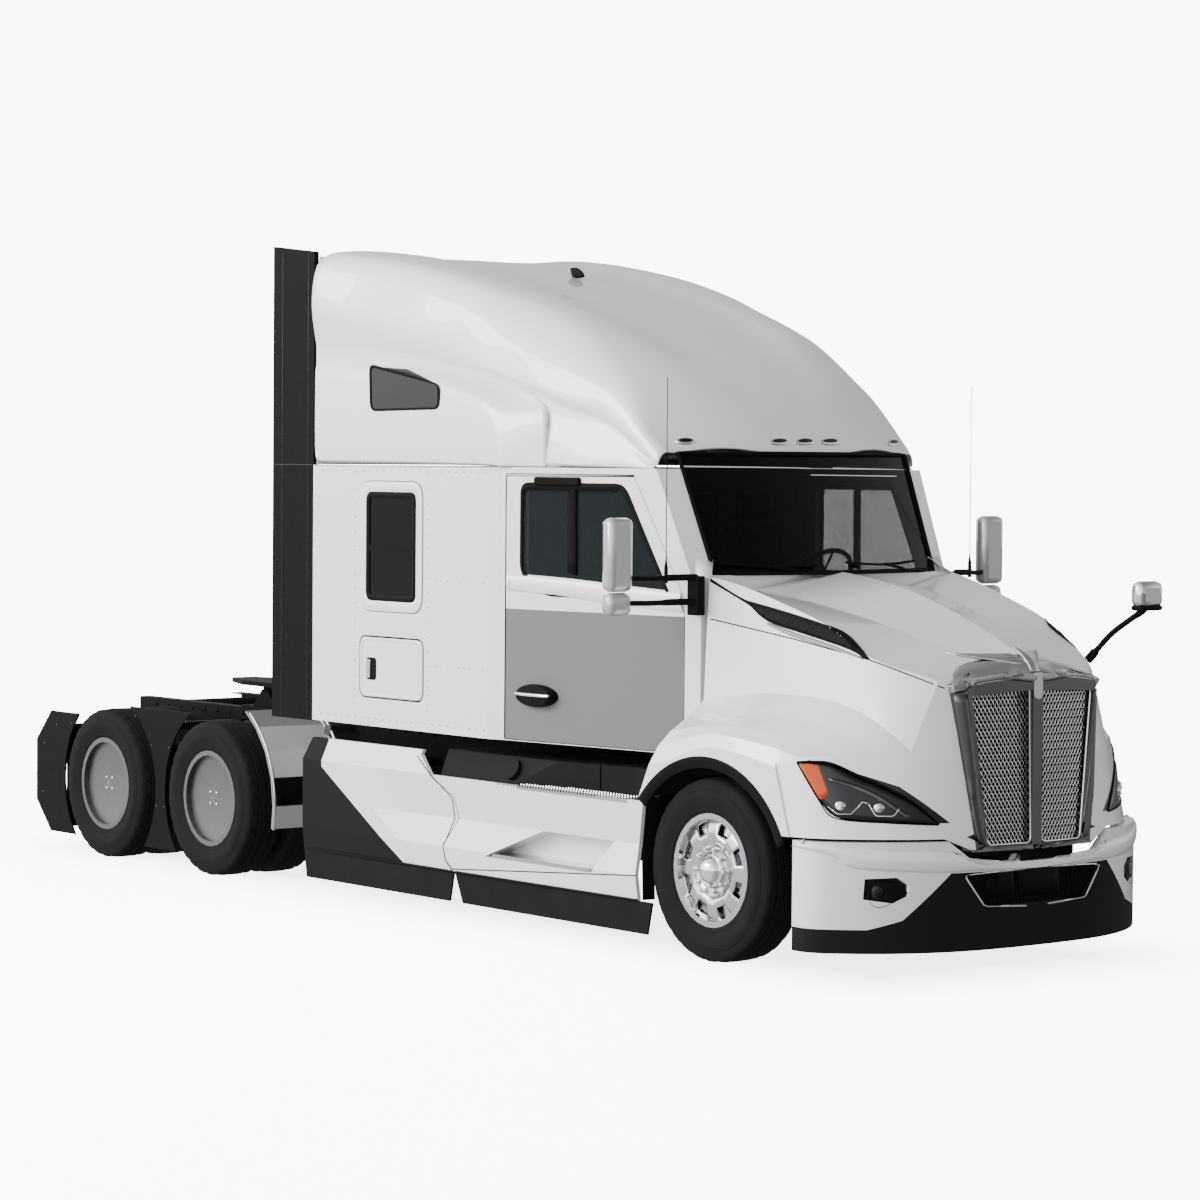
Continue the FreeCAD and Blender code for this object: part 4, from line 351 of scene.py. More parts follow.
class Shape:
    """Points in millimetres from the front axle, with the faces between them."""

    def __init__(self):
        self.points = []
        self.faces = []

    def add(self, points, faces):
        start = len(self.points)
        self.points += [tuple(p) for p in points]
        self.faces += [tuple(start + i for i in face) for face in faces]
        return self

    def loft(self, rows, around=False, capped=False):
        """Rows of as many points each, joined one to the next."""
        count = len(rows[0])
        steps = count if around else count - 1
        faces = []
        for r in range(len(rows) - 1):
            for i in range(steps):
                j = (i + 1) % count
                faces.append((r * count + i, r * count + j, (r + 1) * count + j, (r + 1) * count + i))
        if capped:
            faces.append(tuple(range(count))[::-1])
            faces.append(tuple((len(rows) - 1) * count + i for i in range(count)))
        return self.add([p for row in rows for p in row], faces)

    def tube(self, points, radius, sides=8, ring=False):
        """A round bar along points; radius is a number or one for each point."""
        points = [Vector(p) for p in points]
        count = len(points)
        radii = radius if isinstance(radius, (list, tuple)) else [radius] * count
        rows = []
        up = None
        for i, point in enumerate(points):
            before = points[i - 1] if i or ring else points[0]
            after = points[(i + 1) % count] if i < count - 1 or ring else points[-1]
            along = (after - before).normalized()
            if up is None:
                up = along.orthogonal().normalized()
            up = (up - along * up.dot(along)).normalized()
            side = along.cross(up)
            turns = [2 * math.pi * k / sides for k in range(sides)]
            rows.append([point + (side * math.cos(turn) + up * math.sin(turn)) * radii[i] for turn in turns])
        if ring:
            rows.append(rows[0])
        return self.loft(rows, True, not ring)

    def plate(self, outline, axis, low, high):
        """An outline carried from low to high along axis."""
        def place(a, b, level):
            return {"x": (level, a, b), "y": (a, level, b), "z": (a, b, level)}[axis]
        return self.loft([[place(a, b, low) for a, b in outline], [place(a, b, high) for a, b in outline]],
                         True, True)

    def turned(self, profile, centre, sides=48):
        """A profile of (x, radius) turned about the line along X through centre."""
        rows = []
        for k in range(sides):
            turn = 2 * math.pi * k / sides
            rows.append([(x, centre[0] + r * math.cos(turn), centre[1] + r * math.sin(turn)) for x, r in profile])
        rows.append(rows[0])
        return self.loft(rows)

    def other_side(self):
        """A new shape, mirrored to the other side."""
        return Shape().add([(-x, y, z) for x, y, z in self.points], [tuple(reversed(f)) for f in self.faces])

    def both_sides(self, name, finish, body="root", **more):
        """One piece of the shape and its mirror image."""
        other = self.other_side()
        return self.add(other.points, other.faces).piece(name, finish, body, **more)

    def piece(self, name, finish, body="root", bevel=0.0, levels=0, crease=(), thickness=0.0, sharp=35.0,
              stands_for=()):
        """The finished piece, riding on its body. Bevel and thickness are in millimetres."""
        mesh = bpy.data.meshes.new(name)
        shape = bmesh.new()
        made = [shape.verts.new(at(*p)) for p in self.points]
        for face in self.faces:
            corners = [made[i] for i in dict.fromkeys(face)]
            if len(corners) > 2 and not shape.faces.get(corners):
                shape.faces.new(corners)
        if crease:
            layer = shape.edges.layers.float.new("crease_edge")
            wanted = dict(crease)
            shape.verts.index_update()
            for edge in shape.edges:
                a, b = sorted((edge.verts[0].index, edge.verts[1].index))
                edge[layer] = wanted.get((a, b), 0.0)
        bmesh.ops.remove_doubles(shape, verts=shape.verts, dist=0.00002)
        bmesh.ops.recalc_face_normals(shape, faces=shape.faces)
        shape.to_mesh(mesh)
        shape.free()
        for face in mesh.polygons:
            face.use_smooth = True
        if not levels:
            mesh.set_sharp_from_angle(angle=math.radians(sharp))
        mesh.materials.append(finish)
        made = placed(name, mesh)
        if thickness:
            shell = made.modifiers.new("thickness", "SOLIDIFY")
            shell.thickness = thickness * 0.001
            shell.offset = -1.0
        if bevel:
            edge = made.modifiers.new("edges", "BEVEL")
            edge.width = bevel * 0.001
            edge.segments = 2
            edge.limit_method = "ANGLE"
            edge.harden_normals = False
        if levels:
            rounded(made, levels)
        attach(made, body)
        if stands_for:
            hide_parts(*stands_for)
        return made


def curved(points, count):
    """A smooth line through points, as count evenly spaced ones."""
    points = [Vector(p) for p in points]
    dense = []
    for i in range(len(points) - 1):
        p0 = points[max(i - 1, 0)]
        p1, p2 = points[i], points[i + 1]
        p3 = points[min(i + 2, len(points) - 1)]
        for k in range(12):
            t = k / 12
            dense.append(0.5 * (2 * p1 + (p2 - p0) * t + (2 * p0 - 5 * p1 + 4 * p2 - p3) * t * t
                                + (3 * p1 - p0 - 3 * p2 + p3) * t ** 3))
    dense.append(points[-1])
    return spaced(dense, count)


def spaced(points, count):
    """A broken line through points, as count evenly spaced ones."""
    points = [Vector(p) for p in points]
    lengths = [0.0]
    for a, b in zip(points, points[1:]):
        lengths.append(lengths[-1] + (b - a).length)
    out = []
    i = 0
    for k in range(count):
        goal = lengths[-1] * k / (count - 1)
        while i < len(points) - 2 and lengths[i + 1] < goal:
            i += 1
        span = lengths[i + 1] - lengths[i]
        out.append(points[i].lerp(points[i + 1], (goal - lengths[i]) / span if span else 0.0))
    return out


# Finding the place on the truck that shows at a pixel of the photograph

camera_place = (-13.870, -18.086, 2.754)
camera_yaw = math.radians(38.3447)
camera_pitch = math.radians(-2.2559)
camera_roll = math.radians(0.4545)
camera_lens = 109.04
sensor_width = 36.0
frame_width = 1200
eye_turn = (Matrix.Rotation(-camera_yaw, 4, "Z") @ Matrix.Rotation(math.pi / 2 + camera_pitch, 4, "X")
            @ Matrix.Rotation(camera_roll, 4, "Z"))
skins = {}
photo = ((0.0, 0.0), 1.0)
nose_view = ((640.0, 540.0), 2.904)
fairing_view = ((300.0, 720.0), 4.126)
usual_reach = 19.0


def skin_of(names):
    """The surfaces of some nodes or pieces, ready to be looked at."""
    if names not in skins:
        corners = []
        faces = []
        for name in names:
            thing = frame["nodes"].get(name) or bpy.data.objects[name]
            bpy.context.view_layer.update()
            mesh = thing.evaluated_get(bpy.context.evaluated_depsgraph_get()).to_mesh()
            start = len(corners)
            corners += [thing.matrix_world @ v.co for v in mesh.vertices]
            faces += [[start + i for i in face.vertices] for face in mesh.polygons]
        skins[names] = BVHTree.FromPolygons(corners, faces)
    return skins[names]


def seen(names, across, down, lift=1.5):
    """Where the ray through a pixel meets some nodes, lifted off, in millimetres from the axle."""
    scale = sensor_width / camera_lens / frame_width
    middle = frame_width / 2
    ray = eye_turn.to_3x3() @ Vector(((across - middle) * scale, (middle - down) * scale, -1.0))
    start = Vector(camera_place)
    hit, normal = skin_of(names).ray_cast(start, ray.normalized())[:2]
    if hit is None:
        hit, normal = skin_of(names).find_nearest(start + ray * usual_reach)[:2]
    if normal.dot(ray) > 0:
        normal = -normal
    hit = hit + normal * lift * 0.001
    return Vector((hit.x * 1000, (hit.y - nose_shift) * 1000, hit.z * 1000))


def pixels(view, points):
    """Places read off an enlargement, as pixels of the photograph."""
    (left, top), zoom = view
    return [Vector((left + x / zoom, top + y / zoom, 0.0)) for x, y in points]


def band(shape, names, view, upper, lower, count=24, rows=2, lift=1.5, bulge=0.0, smooth=True):
    """A strip on the skin of some nodes between two lines that the photograph shows."""
    lay = curved if smooth else spaced
    first = lay(pixels(view, upper), count)
    last = lay(pixels(view, lower), count)
    grid = []
    for r in range(rows):
        t = r / (rows - 1)
        proud = lift + bulge * math.sin(math.pi * t)
        grid.append([seen(names, *first[i].lerp(last[i], t).xy, proud) for i in range(count)])
    return shape.loft(grid)


def trace(names, view, points, count=32, lift=1.5, smooth=True):
    """A line on the skin of some nodes that the photograph shows."""
    lay = curved if smooth else spaced
    return [seen(names, *p.xy, lift) for p in lay(pixels(view, points), count)]


# Tyres and wheels


def tyre_profile(middle, rib_count):
    """The section of a truck tyre, from one bead over the tread to the other."""
    half_tread = 112.0
    side = [(-108.0, 296.0), (-118.0, 306.0), (-124.0, 322.0), (-130.0, 330.0), (-131.5, 334.0),
            (-130.0, 338.0), (-141.0, 372.0), (-146.5, 400.0), (-145.5, 428.0), (-143.0, 432.0),
            (-143.0, 440.0), (-139.0, 444.0), (-134.0, 466.0), (-128.0, 484.0), (-122.0, 493.0)]
    tread = []
    pitch = 2 * half_tread / rib_count
    for i in range(rib_count):
        a = -half_tread + pitch * i
        fall = 9.0 * ((a + pitch / 2) / half_tread) ** 2
        top = tyre_radius - fall
        end = a + pitch
        tread += [(a + 3.5, top - 12.0), (a + 4.5, top), (end - 4.5, top), (end - 3.5, top - 12.0)]
    tread = tread[1:-1]
    whole = side + tread + [(-x, r) for x, r in reversed(side)]
    return [(middle + x, r) for x, r in whole]


def tyre(shape, middle, y, rib_count, lug_depth):
    """One tyre, with its shoulder ribs cut across for the lugs."""
    profile = tyre_profile(middle, rib_count)
    sides = 120
    rows = []
    for k in range(sides + 1):
        turn = 2 * math.pi * k / sides
        row = []
        for x, r in profile:
            on_shoulder = 84.0 < abs(x - middle) < 130.0 and r > 470.0
            if k % 4 == 0 and on_shoulder:
                r -= lug_depth
            row.append((x, y + r * math.cos(turn), tyre_radius + r * math.sin(turn)))
        rows.append(row)
    return shape.loft(rows)


steer_middle = 1030.0
twin_middles = (1071.5, 731.5)


def tyres():
    """The steered tyres with five ribs, and the twin drive tyres with four and deeper lugs."""
    for side, sign in two_sides:
        tyre(Shape(), sign * steer_middle, 0.0, 5, 3.0).piece(
            "steer_tyre_" + side, tyre_rubber, "front_wheel_" + side, sharp=30,
            stands_for=("front_tyre_" + side,))
        for number, y in drive_axles:
            twins = Shape()
            for middle in twin_middles:
                tyre(twins, sign * middle, y, 4, 7.0)
            tag = "_%d_%s" % (number, side)
            twins.piece("twin_tyres" + tag, tyre_rubber, "drive_wheel" + tag, sharp=30,
                        stands_for=("drive_tyres" + tag,))


def ring_place(k, count, radius, centre, turn=0.0):
    """The k-th of some evenly spaced places on a circle."""
    a = 2 * math.pi * (k + turn) / count
    return centre[0] + radius * math.cos(a), centre[1] + radius * math.sin(a)


def circle(count, radius, centre):
    return [ring_place(k, count, radius, centre) for k in range(count)]


def outward(profile, sign):
    """A profile of (x, radius) on the left or the right side."""
    return [(sign * x, r) for x, r in profile]


def front_wheel(side, sign):
    """The bright front wheel: rolled rim, dished disc with hand holes, nut covers and hub cap."""
    body = "front_wheel_" + side
    centre = (0.0, tyre_radius)
    roll = [(1149.0, 300.0), (1153.0, 306.0), (1152.0, 311.5), (1146.0, 313.0), (1138.0, 306.0),
            (1120.0, 298.0), (1090.0, 296.0), (1088.0, 286.0), (1118.0, 284.0), (1140.0, 290.0), (1149.0, 300.0)]
    rim = Shape().turned(outward(roll, sign), centre, 96)
    rim.piece("rim_roll_" + side, polished_alloy, body, sharp=50)
    hand_holes = 8
    sides = 96
    rings = [(1090.0, 290.0), (1112.0, 268.0), (1126.0, 244.0), (1133.0, 205.0), (1131.0, 168.0),
             (1124.0, 150.0), (1136.0, 140.0), (1136.0, 96.0)]
    points = []
    for k in range(sides + 1):
        a = 2 * math.pi * k / sides
        points += [(x, centre[0] + r * math.cos(a), centre[1] + r * math.sin(a)) for x, r in outward(rings, sign)]
    count = len(rings)
    faces = []
    per = sides // hand_holes
    for k in range(sides):
        for i in range(count - 1):
            in_hole = i in (1, 2) and 3 <= k % per < per - 3
            if not in_hole:
                first, second = k * count + i, (k + 1) * count + i
                faces.append((first, first + 1, second + 1, second))
    disc = Shape().add(points, faces)
    disc.piece("wheel_disc_" + side, polished_alloy, body, thickness=-10.0, sharp=40)
    well = Shape().turned(outward(((1072.0, 286.0), (1084.0, 280.0), (1080.0, 120.0)), sign), centre, 64)
    well.piece("wheel_well_" + side, chassis_black, body, thickness=3.0)
    nut = [(1134.0, 19.0), (1142.0, 19.0), (1143.0, 15.0), (1158.0, 14.0), (1166.0, 11.0), (1169.0, 0.01)]
    covers = Shape()
    for place in circle(10, 118.0, centre):
        covers.turned(outward(nut, sign), place, 12)
    covers.piece("nut_covers_" + side, mirror_chrome, body, sharp=40)
    cone = [(1134.0, 92.0), (1146.0, 92.0), (1150.0, 88.0), (1153.0, 80.0), (1160.0, 76.0), (1182.0, 60.0),
            (1196.0, 40.0), (1203.0, 20.0), (1205.0, 0.01)]
    cap = Shape().turned(outward(cone, sign), centre, 48)
    cap.piece("hub_cap_" + side, mirror_chrome, body, sharp=40)


def drive_cover(number, side, sign, y):
    """The flat cover disc of a drive wheel with its rim and four studs."""
    tag = "_%d_%s" % (number, side)
    body = "drive_wheel" + tag
    centre = (y, tyre_radius)
    sheet = [(1148.0, 291.0), (1156.0, 290.0), (1158.0, 286.0), (1157.0, 281.0), (1157.5, 0.01)]
    disc = Shape().turned(outward(sheet, sign), centre, 96)
    disc.piece("cover_disc" + tag, cover_alloy, body, sharp=40)
    roll = [(1186.0, 292.0), (1193.0, 300.0), (1194.0, 310.0), (1188.0, 313.0), (1180.0, 306.0),
            (1150.0, 296.0), (1150.0, 290.0), (1180.0, 288.0), (1186.0, 292.0)]
    rim = Shape().turned(outward(roll, sign), centre, 96)
    rim.piece("cover_rim" + tag, axle_iron, body, sharp=50)
    stud = outward(((1157.0, 9.0), (1161.0, 9.0), (1164.0, 5.0), (1165.0, 0.01)), sign)
    pin = outward(((1157.0, 5.0), (1160.0, 4.0), (1160.5, 0.01)), sign)
    studs = Shape()
    for k in range(4):
        studs.turned(stud, ring_place(k, 4, 52.0, centre, 0.5), 10)
    for place in circle(4, 20.0, centre):
        studs.turned(pin, place, 8)
    studs.piece("cover_studs" + tag, mirror_chrome, body)


def wheels():
    for side, sign in two_sides:
        front_wheel(side, sign)
        for number, y in drive_axles:
            drive_cover(number, side, sign, y)


tyres()
wheels()


# Roof

roof_centre = [(0, 520, 2776), (0, 560, 2839), (0, 700, 3014), (0, 864, 3158), (0, 1000, 3250),
               (0, 1160, 3344), (0, 1355, 3434), (0, 1575, 3527), (0, 1900, 3640), (0, 2300, 3762),
               (0, 2800, 3880), (0, 3370, 3972), (0, 3786, 4012)]
roof_ridge = [(285, 535, 2776), (300, 566, 2820), (326, 666, 2965), (357, 825, 3120), (390, 1001, 3241),
              (419, 1184, 3349), (465, 1499, 3492), (515, 1815, 3610), (480, 2300, 3759), (480, 2800, 3878),
              (490, 3370, 3970), (500, 3786, 4011)]
roof_edge = [(866, 660, 2776), (904, 750, 2851), (900, 864, 2992), (887, 972, 3123), (883, 1160, 3262),
             (876, 1355, 3397), (880, 1575, 3510), (915, 2008, 3655), (985, 2300, 3742), (1045, 2800, 3866),
             (1095, 3370, 3960), (1195, 3786, 4000)]
roof_sweep = [(985, 690, 2706), (1000, 884, 2839), (1000, 1051, 2943), (1010, 1220, 3010),
              (1050, 1348, 3050), (1090, 1652, 3148), (1104, 2099, 3267), (1112, 2513, 3342),
              (1150, 2869, 3409), (1158, 3257, 3437), (1219, 3786, 3465)]
channel_low = [(975, 720, 2700), (988, 884, 2810), (990, 1051, 2910), (1000, 1220, 2972),
               (1036, 1348, 3008), (1078, 1652, 3094), (1092, 2099, 3212), (1098, 2513, 3290),
               (1135, 2869, 3352), (1146, 3257, 3385), (1212, 3786, 3410)]
roof_foot = [(998, 700, 2692), (1026, 884, 2692), (1050, 1051, 2692), (1072, 1220, 2692),
             (1092, 1348, 2692), (1130, 1652, 2692), (1150, 2099, 2692), (1160, 2513, 2692),
             (1165, 2869, 2692), (1170, 3257, 2692), (1210, 3786, 2692)]
crown_between = (-6.0, 34.0, 46.0, 0.0, 10.0)
crease_strength = {0: 0.0, 2: 0.55, 6: 0.25, 10: 0.9, 12: 0.7}


def roof_skin():
    """The sculpted roof: a middle panel between two ridges, crowned sides and a swept crease."""
    count = 40
    lines = [curved(line, count) for line in
             (roof_centre, roof_ridge, roof_edge, roof_sweep, channel_low, roof_foot)]
    columns = []
    for c, (a, b) in enumerate(zip(lines, lines[1:])):
        inner = (0.25, 0.5, 0.75) if c in (1, 2) else (0.5,)
        columns.append(a)
        for t in inner:
            row = []
            for k in range(count):
                bow = crown_between[c] * 4 * t * (1 - t)
                out = Vector((1, 0, 0))
                if c < 3:
                    across = b[k] - a[k]
                    out = Vector((-across.z, 0, across.x)).normalized()
                    if out.z < 0:
                        out = -out
                row.append(a[k].lerp(b[k], t) + out * bow)
            columns.append(row)
    columns.append(lines[-1])
    width = len(columns)
    left = [[(-p.x, p.y, p.z) for p in column] for column in reversed(columns[1:])]
    shape = Shape().loft(left + [[tuple(p) for p in column] for column in columns])
    crease = []
    for c, strength in crease_strength.items():
        for column in {width - 1 - c, width - 1 + c}:
            for k in range(count - 1):
                crease.append(((column * count + k, column * count + k + 1), strength))
    shape.piece("roof_skin", cab_paint, levels=1, crease=crease, thickness=14.0, stands_for=("roof_cap",))


cheek_back = [(1120, 1545, 2690), (1122, 1552, 2996), (1078, 1608, 3062), (1084, 1784, 3143),
              (1084, 2098, 3227), (1090, 2512, 3301), (1130, 2868, 3360), (1140, 3331, 3385), (1206, 3786, 3405)]
cheek_edge = [(1217, 1850, 2690), (1217, 1870, 2860), (1217, 1935, 2990), (1217, 2030, 3060),
              (1217, 2200, 3120), (1217, 2500, 3180), (1217, 2868, 3240), (1217, 3331, 3275), (1217, 3786, 3300)]


def roof_cheeks():
    """The full-width side panels under the swept channel, with a hollow leading edge."""
    count = 36
    back = curved(cheek_back, count)
    edge = curved(cheek_edge, count)
    for side, sign in two_sides:
        rows = [[(p.x - 30.0, p.y, p.z - 4.0) for p in back], [tuple(p) for p in back]]
        for t, sink in ((0.25, 15.0), (0.5, 17.0), (0.75, 10.0), (1.0, 0.0)):
            rows.append([tuple(back[k].lerp(edge[k], t) - Vector((sink, 0, 0))) for k in range(count)])
        for t in (0.25, 0.6, 1.0):
            rows.append([(1217.5, p.y, p.z + (2691.0 - p.z) * t) for p in edge])
        shape = Shape().loft([[(sign * x, y, z) for x, y, z in row] for row in rows])
        crease = [((count + k, count + k + 1), 0.8) for k in range(count - 1)]
        shape.piece("roof_cheek_" + side, cab_paint, levels=1, crease=crease, thickness=6.0)


def roof_back():
    """The flat wall that closes the roof behind the sleeper."""
    half = [(0, 4000), (500, 3999), (1188, 3986), (1206, 3700), (1208, 3460), (1200, 3405), (1200, 2694)]
    outline = half + [(-x, z) for x, z in reversed(half) if x]
    wall = Shape().plate(outline, "y", 3770.0, 3784.0)
    wall.piece("roof_back_wall", cab_paint, bevel=3.0)


roof_skin()
roof_cheeks()
roof_back()


# Hood, grille and lamps

hood = ("hood_shell",)
nose = ("grille_surround", "hood_shell")
lamp_skin = ("headlamps", "hood_shell")
bumper = ("bumper_shell", "bumper_valance")
bumper_mouth = ("bumper_grille", "bumper_valance")
bumper_front = -1349.5


def wire_mesh(shape, names, view, upper, lower, across, radius, lift, lean=1.0, steps=5):
    """Two crossing families of thin wires between two lines that the photograph shows."""
    first = spaced(pixels(view, upper), across + 1)
    last = spaced(pixels(view, lower), across + 1)

    def spot_at(u, v):
        u = min(max(u, 0.0), 1.0) * across
        i = min(int(u), across - 1)
        top = first[i].lerp(first[i + 1], u - i)
        low = last[i].lerp(last[i + 1], u - i)
        return seen(names, *top.lerp(low, v).xy, lift)
    reach = lean / across
    for way in (1, -1):
        for k in range(-int(lean), across + int(lean) + 1):
            u = k / across
            points = []
            for j in range(steps + 1):
                v = j / steps
                here = u + way * reach * (v - 0.5)
                if 0.0 <= here <= 1.0:
                    points.append(spot_at(here, v))
            if len(points) > 1:
                shape.tube(points, radius, 4)
    return shape


def spot(shape, names, view, centre, wide, high, lift, dome, sides=20, rings=4):
    """A domed round or oval pad on the skin of some nodes."""
    middle = pixels(view, [centre])[0]
    zoom = view[1]
    rows = []
    for r in range(rings + 1):
        t = r / rings
        size = 1.0 if r == 0 else math.cos(math.pi / 2 * (r - 1) / rings) if r < rings else 0.02
        proud = 0.0 if r == 0 else lift + dome * math.sin(math.pi / 2 * (r - 1) / max(rings - 1, 1))
        rows.append([seen(names, middle.x + wide / zoom * size * math.cos(2 * math.pi * k / sides),
                          middle.y + high / zoom * size * math.sin(2 * math.pi * k / sides), proud)
                     for k in range(sides)])
    return shape.loft(rows, True, True)


def intake():
    """The long air slot under the hood's shoulder: black surround, woven mesh and bright sill."""
    surround = band(Shape(), hood, nose_view,
                    [(205, 111), (310, 175), (430, 212), (555, 254), (608, 282), (668, 346)],
                    [(205, 121), (318, 190), (372, 234), (475, 270), (606, 315), (660, 347)], 40, 9, 4.0)
    surround.both_sides("intake_surround", trim_black, "hood", thickness=5.0)
    rim = Shape()
    for line in ([(312, 178), (372, 234), (475, 270), (606, 315), (655, 344)],
                 [(312, 178), (430, 212), (555, 254), (608, 282), (660, 340)]):
        rim.tube(trace(hood, nose_view, line, 24, 3.0), 5.0, 6)
    rim.both_sides("intake_rim", panel_black, "hood")
    weave = wire_mesh(Shape(), hood, nose_view, [(330, 190), (430, 220), (550, 262), (600, 290)],
                      [(368, 226), (478, 263), (598, 305), (622, 318)], 34, 1.7, 5.0, 3.0, 4)
    weave.both_sides("intake_weave", lamp_smoke, "hood")
    sill = band(Shape(), hood, nose_view, [(372, 240), (450, 269), (562, 307), (645, 342)],
                [(372, 248), (450, 282), (562, 317), (650, 347)], 20, 3, 2.0, 5.0)
    sill.both_sides("intake_sill", mirror_silver, "hood", thickness=3.0)
    joint = band(Shape(), hood, nose_view, [(204, 227), (440, 284), (560, 317), (665, 346), (884, 429)],
                 [(204, 231), (440, 288), (560, 321), (665, 350), (884, 433)], 40, 2, 0.8)
    joint.both_sides("hood_joint_line", panel_black, "hood", thickness=2.0)


grille_foot_y = -1331.0
grille_foot_z = 700.0
grille_rise = 830.0
grille_lean = 20.0
grille_half = 430.0
grille_bow = 24.0


def bowed(x, z, proud=0.0):
    """A place on the grille's leaning, bowed front."""
    y = grille_foot_y + grille_lean * (z - grille_foot_z) / grille_rise
    return (x, y + grille_bow * (x / grille_half) ** 2 - proud, z)


mesh_window = ((40.0, 712.0), (348.0, 712.0), (452.0, 1528.0), (40.0, 1548.0))


def clipped(start, way, corners):
    """The stretch of a line inside a convex outline, as two distances along it."""
    low, high = -1e9, 1e9
    count = len(corners)
    for i in range(count):
        ax, az = corners[i]
        bx, bz = corners[(i + 1) % count]
        nx, nz = -(bz - az), bx - ax
        ahead = (start[0] - ax) * nx + (start[1] - az) * nz
        rate = way[0] * nx + way[1] * nz
        if abs(rate) < 1e-9:
            if ahead < 0:
                return None
            continue
        t = -ahead / rate
        if rate > 0:
            low = max(low, t)
        else:
            high = min(high, t)
    return (low, high) if high - low > 6.0 else None


def grille():
    """Woven diamond mesh in two windows, with rolled bright edging, middle bar, cap and crest."""
    weave = Shape()
    pitch = 27.0
    lean = math.radians(57.0)
    for family in (1, -1):
        way = (family * math.cos(lean), math.sin(lean))
        for k in range(-40, 60):
            start = (k * pitch, grille_foot_z)
            span = clipped(start, way, mesh_window)
            if span is None:
                continue
            step = pitch / 2 / math.cos(lean)
            points = []
            t = math.ceil(span[0] / step) * step
            marks = [span[0]]
            while t < span[1]:
                marks.append(t)
                t += step
            marks.append(span[1])
            for t in marks:
                x, z = start[0] + way[0] * t, start[1] + way[1] * t
                over = 3.0 * family * (1 if round(t / step) % 2 else -1)
                points.append(bowed(x, z, over - 22.0))
            weave.tube(points, 3.1, 4)
    weave.both_sides("woven_grille", mesh_steel, "hood", stands_for=("grille_mesh",), sharp=60)
    backing = Shape()
    backing.plate([(-440, 700), (440, 700), (500, 1540), (-500, 1540)], "y", -1252.0, -1246.0)
    backing.piece("grille_backing", chassis_black, "hood")
    edging = Shape()
    corners = curved_corners(mesh_window, 34.0)
    edging.tube([bowed(x, z, 3.0) for x, z in corners], 6.5, 8, True)
    edging.both_sides("window_edging", mirror_chrome, "hood", sharp=60)
    section = ((-36, -6), (-34, 4), (-18, 9), (18, 9), (34, 4), (36, -6))
    bar = Shape().loft([[bowed(x, z, proud) for x, proud in section]
                        for z in (690.0, 800.0, 1000.0, 1200.0, 1400.0, 1560.0)])
    bar.piece("middle_bar", grille_satin, "hood", thickness=4.0)
    cap = band(Shape(), nose, nose_view,
               [(906, 392), (925, 368), (970, 352), (1040, 342), (1085, 333), (1150, 318)],
               [(902, 447), (942, 442), (968, 423), (1050, 407), (1128, 412), (1150, 412)], 28, 9, 2.0, 20.0)
    held_back(cap).both_sides("grille_cap", bright_trim, "hood", thickness=5.0)
    flank = band(Shape(), nose, nose_view, [(903, 452), (920, 560), (950, 730), (984, 884)],
                 [(952, 448), (966, 560), (988, 730), (1012, 886)], 20, 5, 2.0, 8.0)
    flank.both_sides("grille_flank", grille_satin, "hood", thickness=4.0)
    foot = band(Shape(), nose, nose_view, [(1010, 892), (1080, 890), (1150, 886)],
                [(986, 905), (1070, 914), (1150, 911)], 14, 4, 2.0, 8.0)
    foot.both_sides("grille_foot", grille_satin, "hood", thickness=4.0)
    crest = Shape()
    path = [((0, -1130, 1756), 8.0, (0, -0.35, 0.94)), ((0, -1215, 1729), 24.0, (0, -0.45, 0.9)),
            ((0, -1288, 1682), 32.0, (0, -0.7, 0.7)), ((0, -1325, 1632), 36.0, (0, -0.9, 0.4)),
            ((0, -1333, 1585), 35.0, (0, -1, 0)), ((0, -1334, 1540), 34.0, (0, -1, 0))]
    rows = []
    for place, half, out in path:
        rows.append([Vector(place) + Vector((half * t, 0, 0)) + Vector(out) * (12.0 * (1 - t * t) - 6.0)
                     for t in (-1.0, -0.8, -0.4, 0.0, 0.4, 0.8, 1.0)])
    crest.loft(rows)
    crest.piece("grille_crest", bright_trim, "hood", levels=2, thickness=8.0)
    shield = [(-27, 1622), (27, 1622), (31, 1590), (31, 1500), (22, 1482), (0, 1476), (-22, 1482),
              (-31, 1500), (-31, 1590)]
    pad = Shape().plate(shield, "y", -1346.0, -1326.0)
    pad.piece("bare_pad", mirror_chrome, "hood", bevel=4.0)


def curved_corners(corners, radius):
    """An outline with its corners rounded."""
    out = []
    count = len(corners)
    for i in range(count):
        here = Vector((*corners[i], 0))
        before = (Vector((*corners[i - 1], 0)) - here).normalized()
        after = (Vector((*corners[(i + 1) % count], 0)) - here).normalized()
        for k in range(6):
            t = k / 5
            a = here + before * radius
            b = here + after * radius
            p = a.lerp(here, t).lerp(here.lerp(b, t), t)
            out.append((p.x, p.y))
    return out


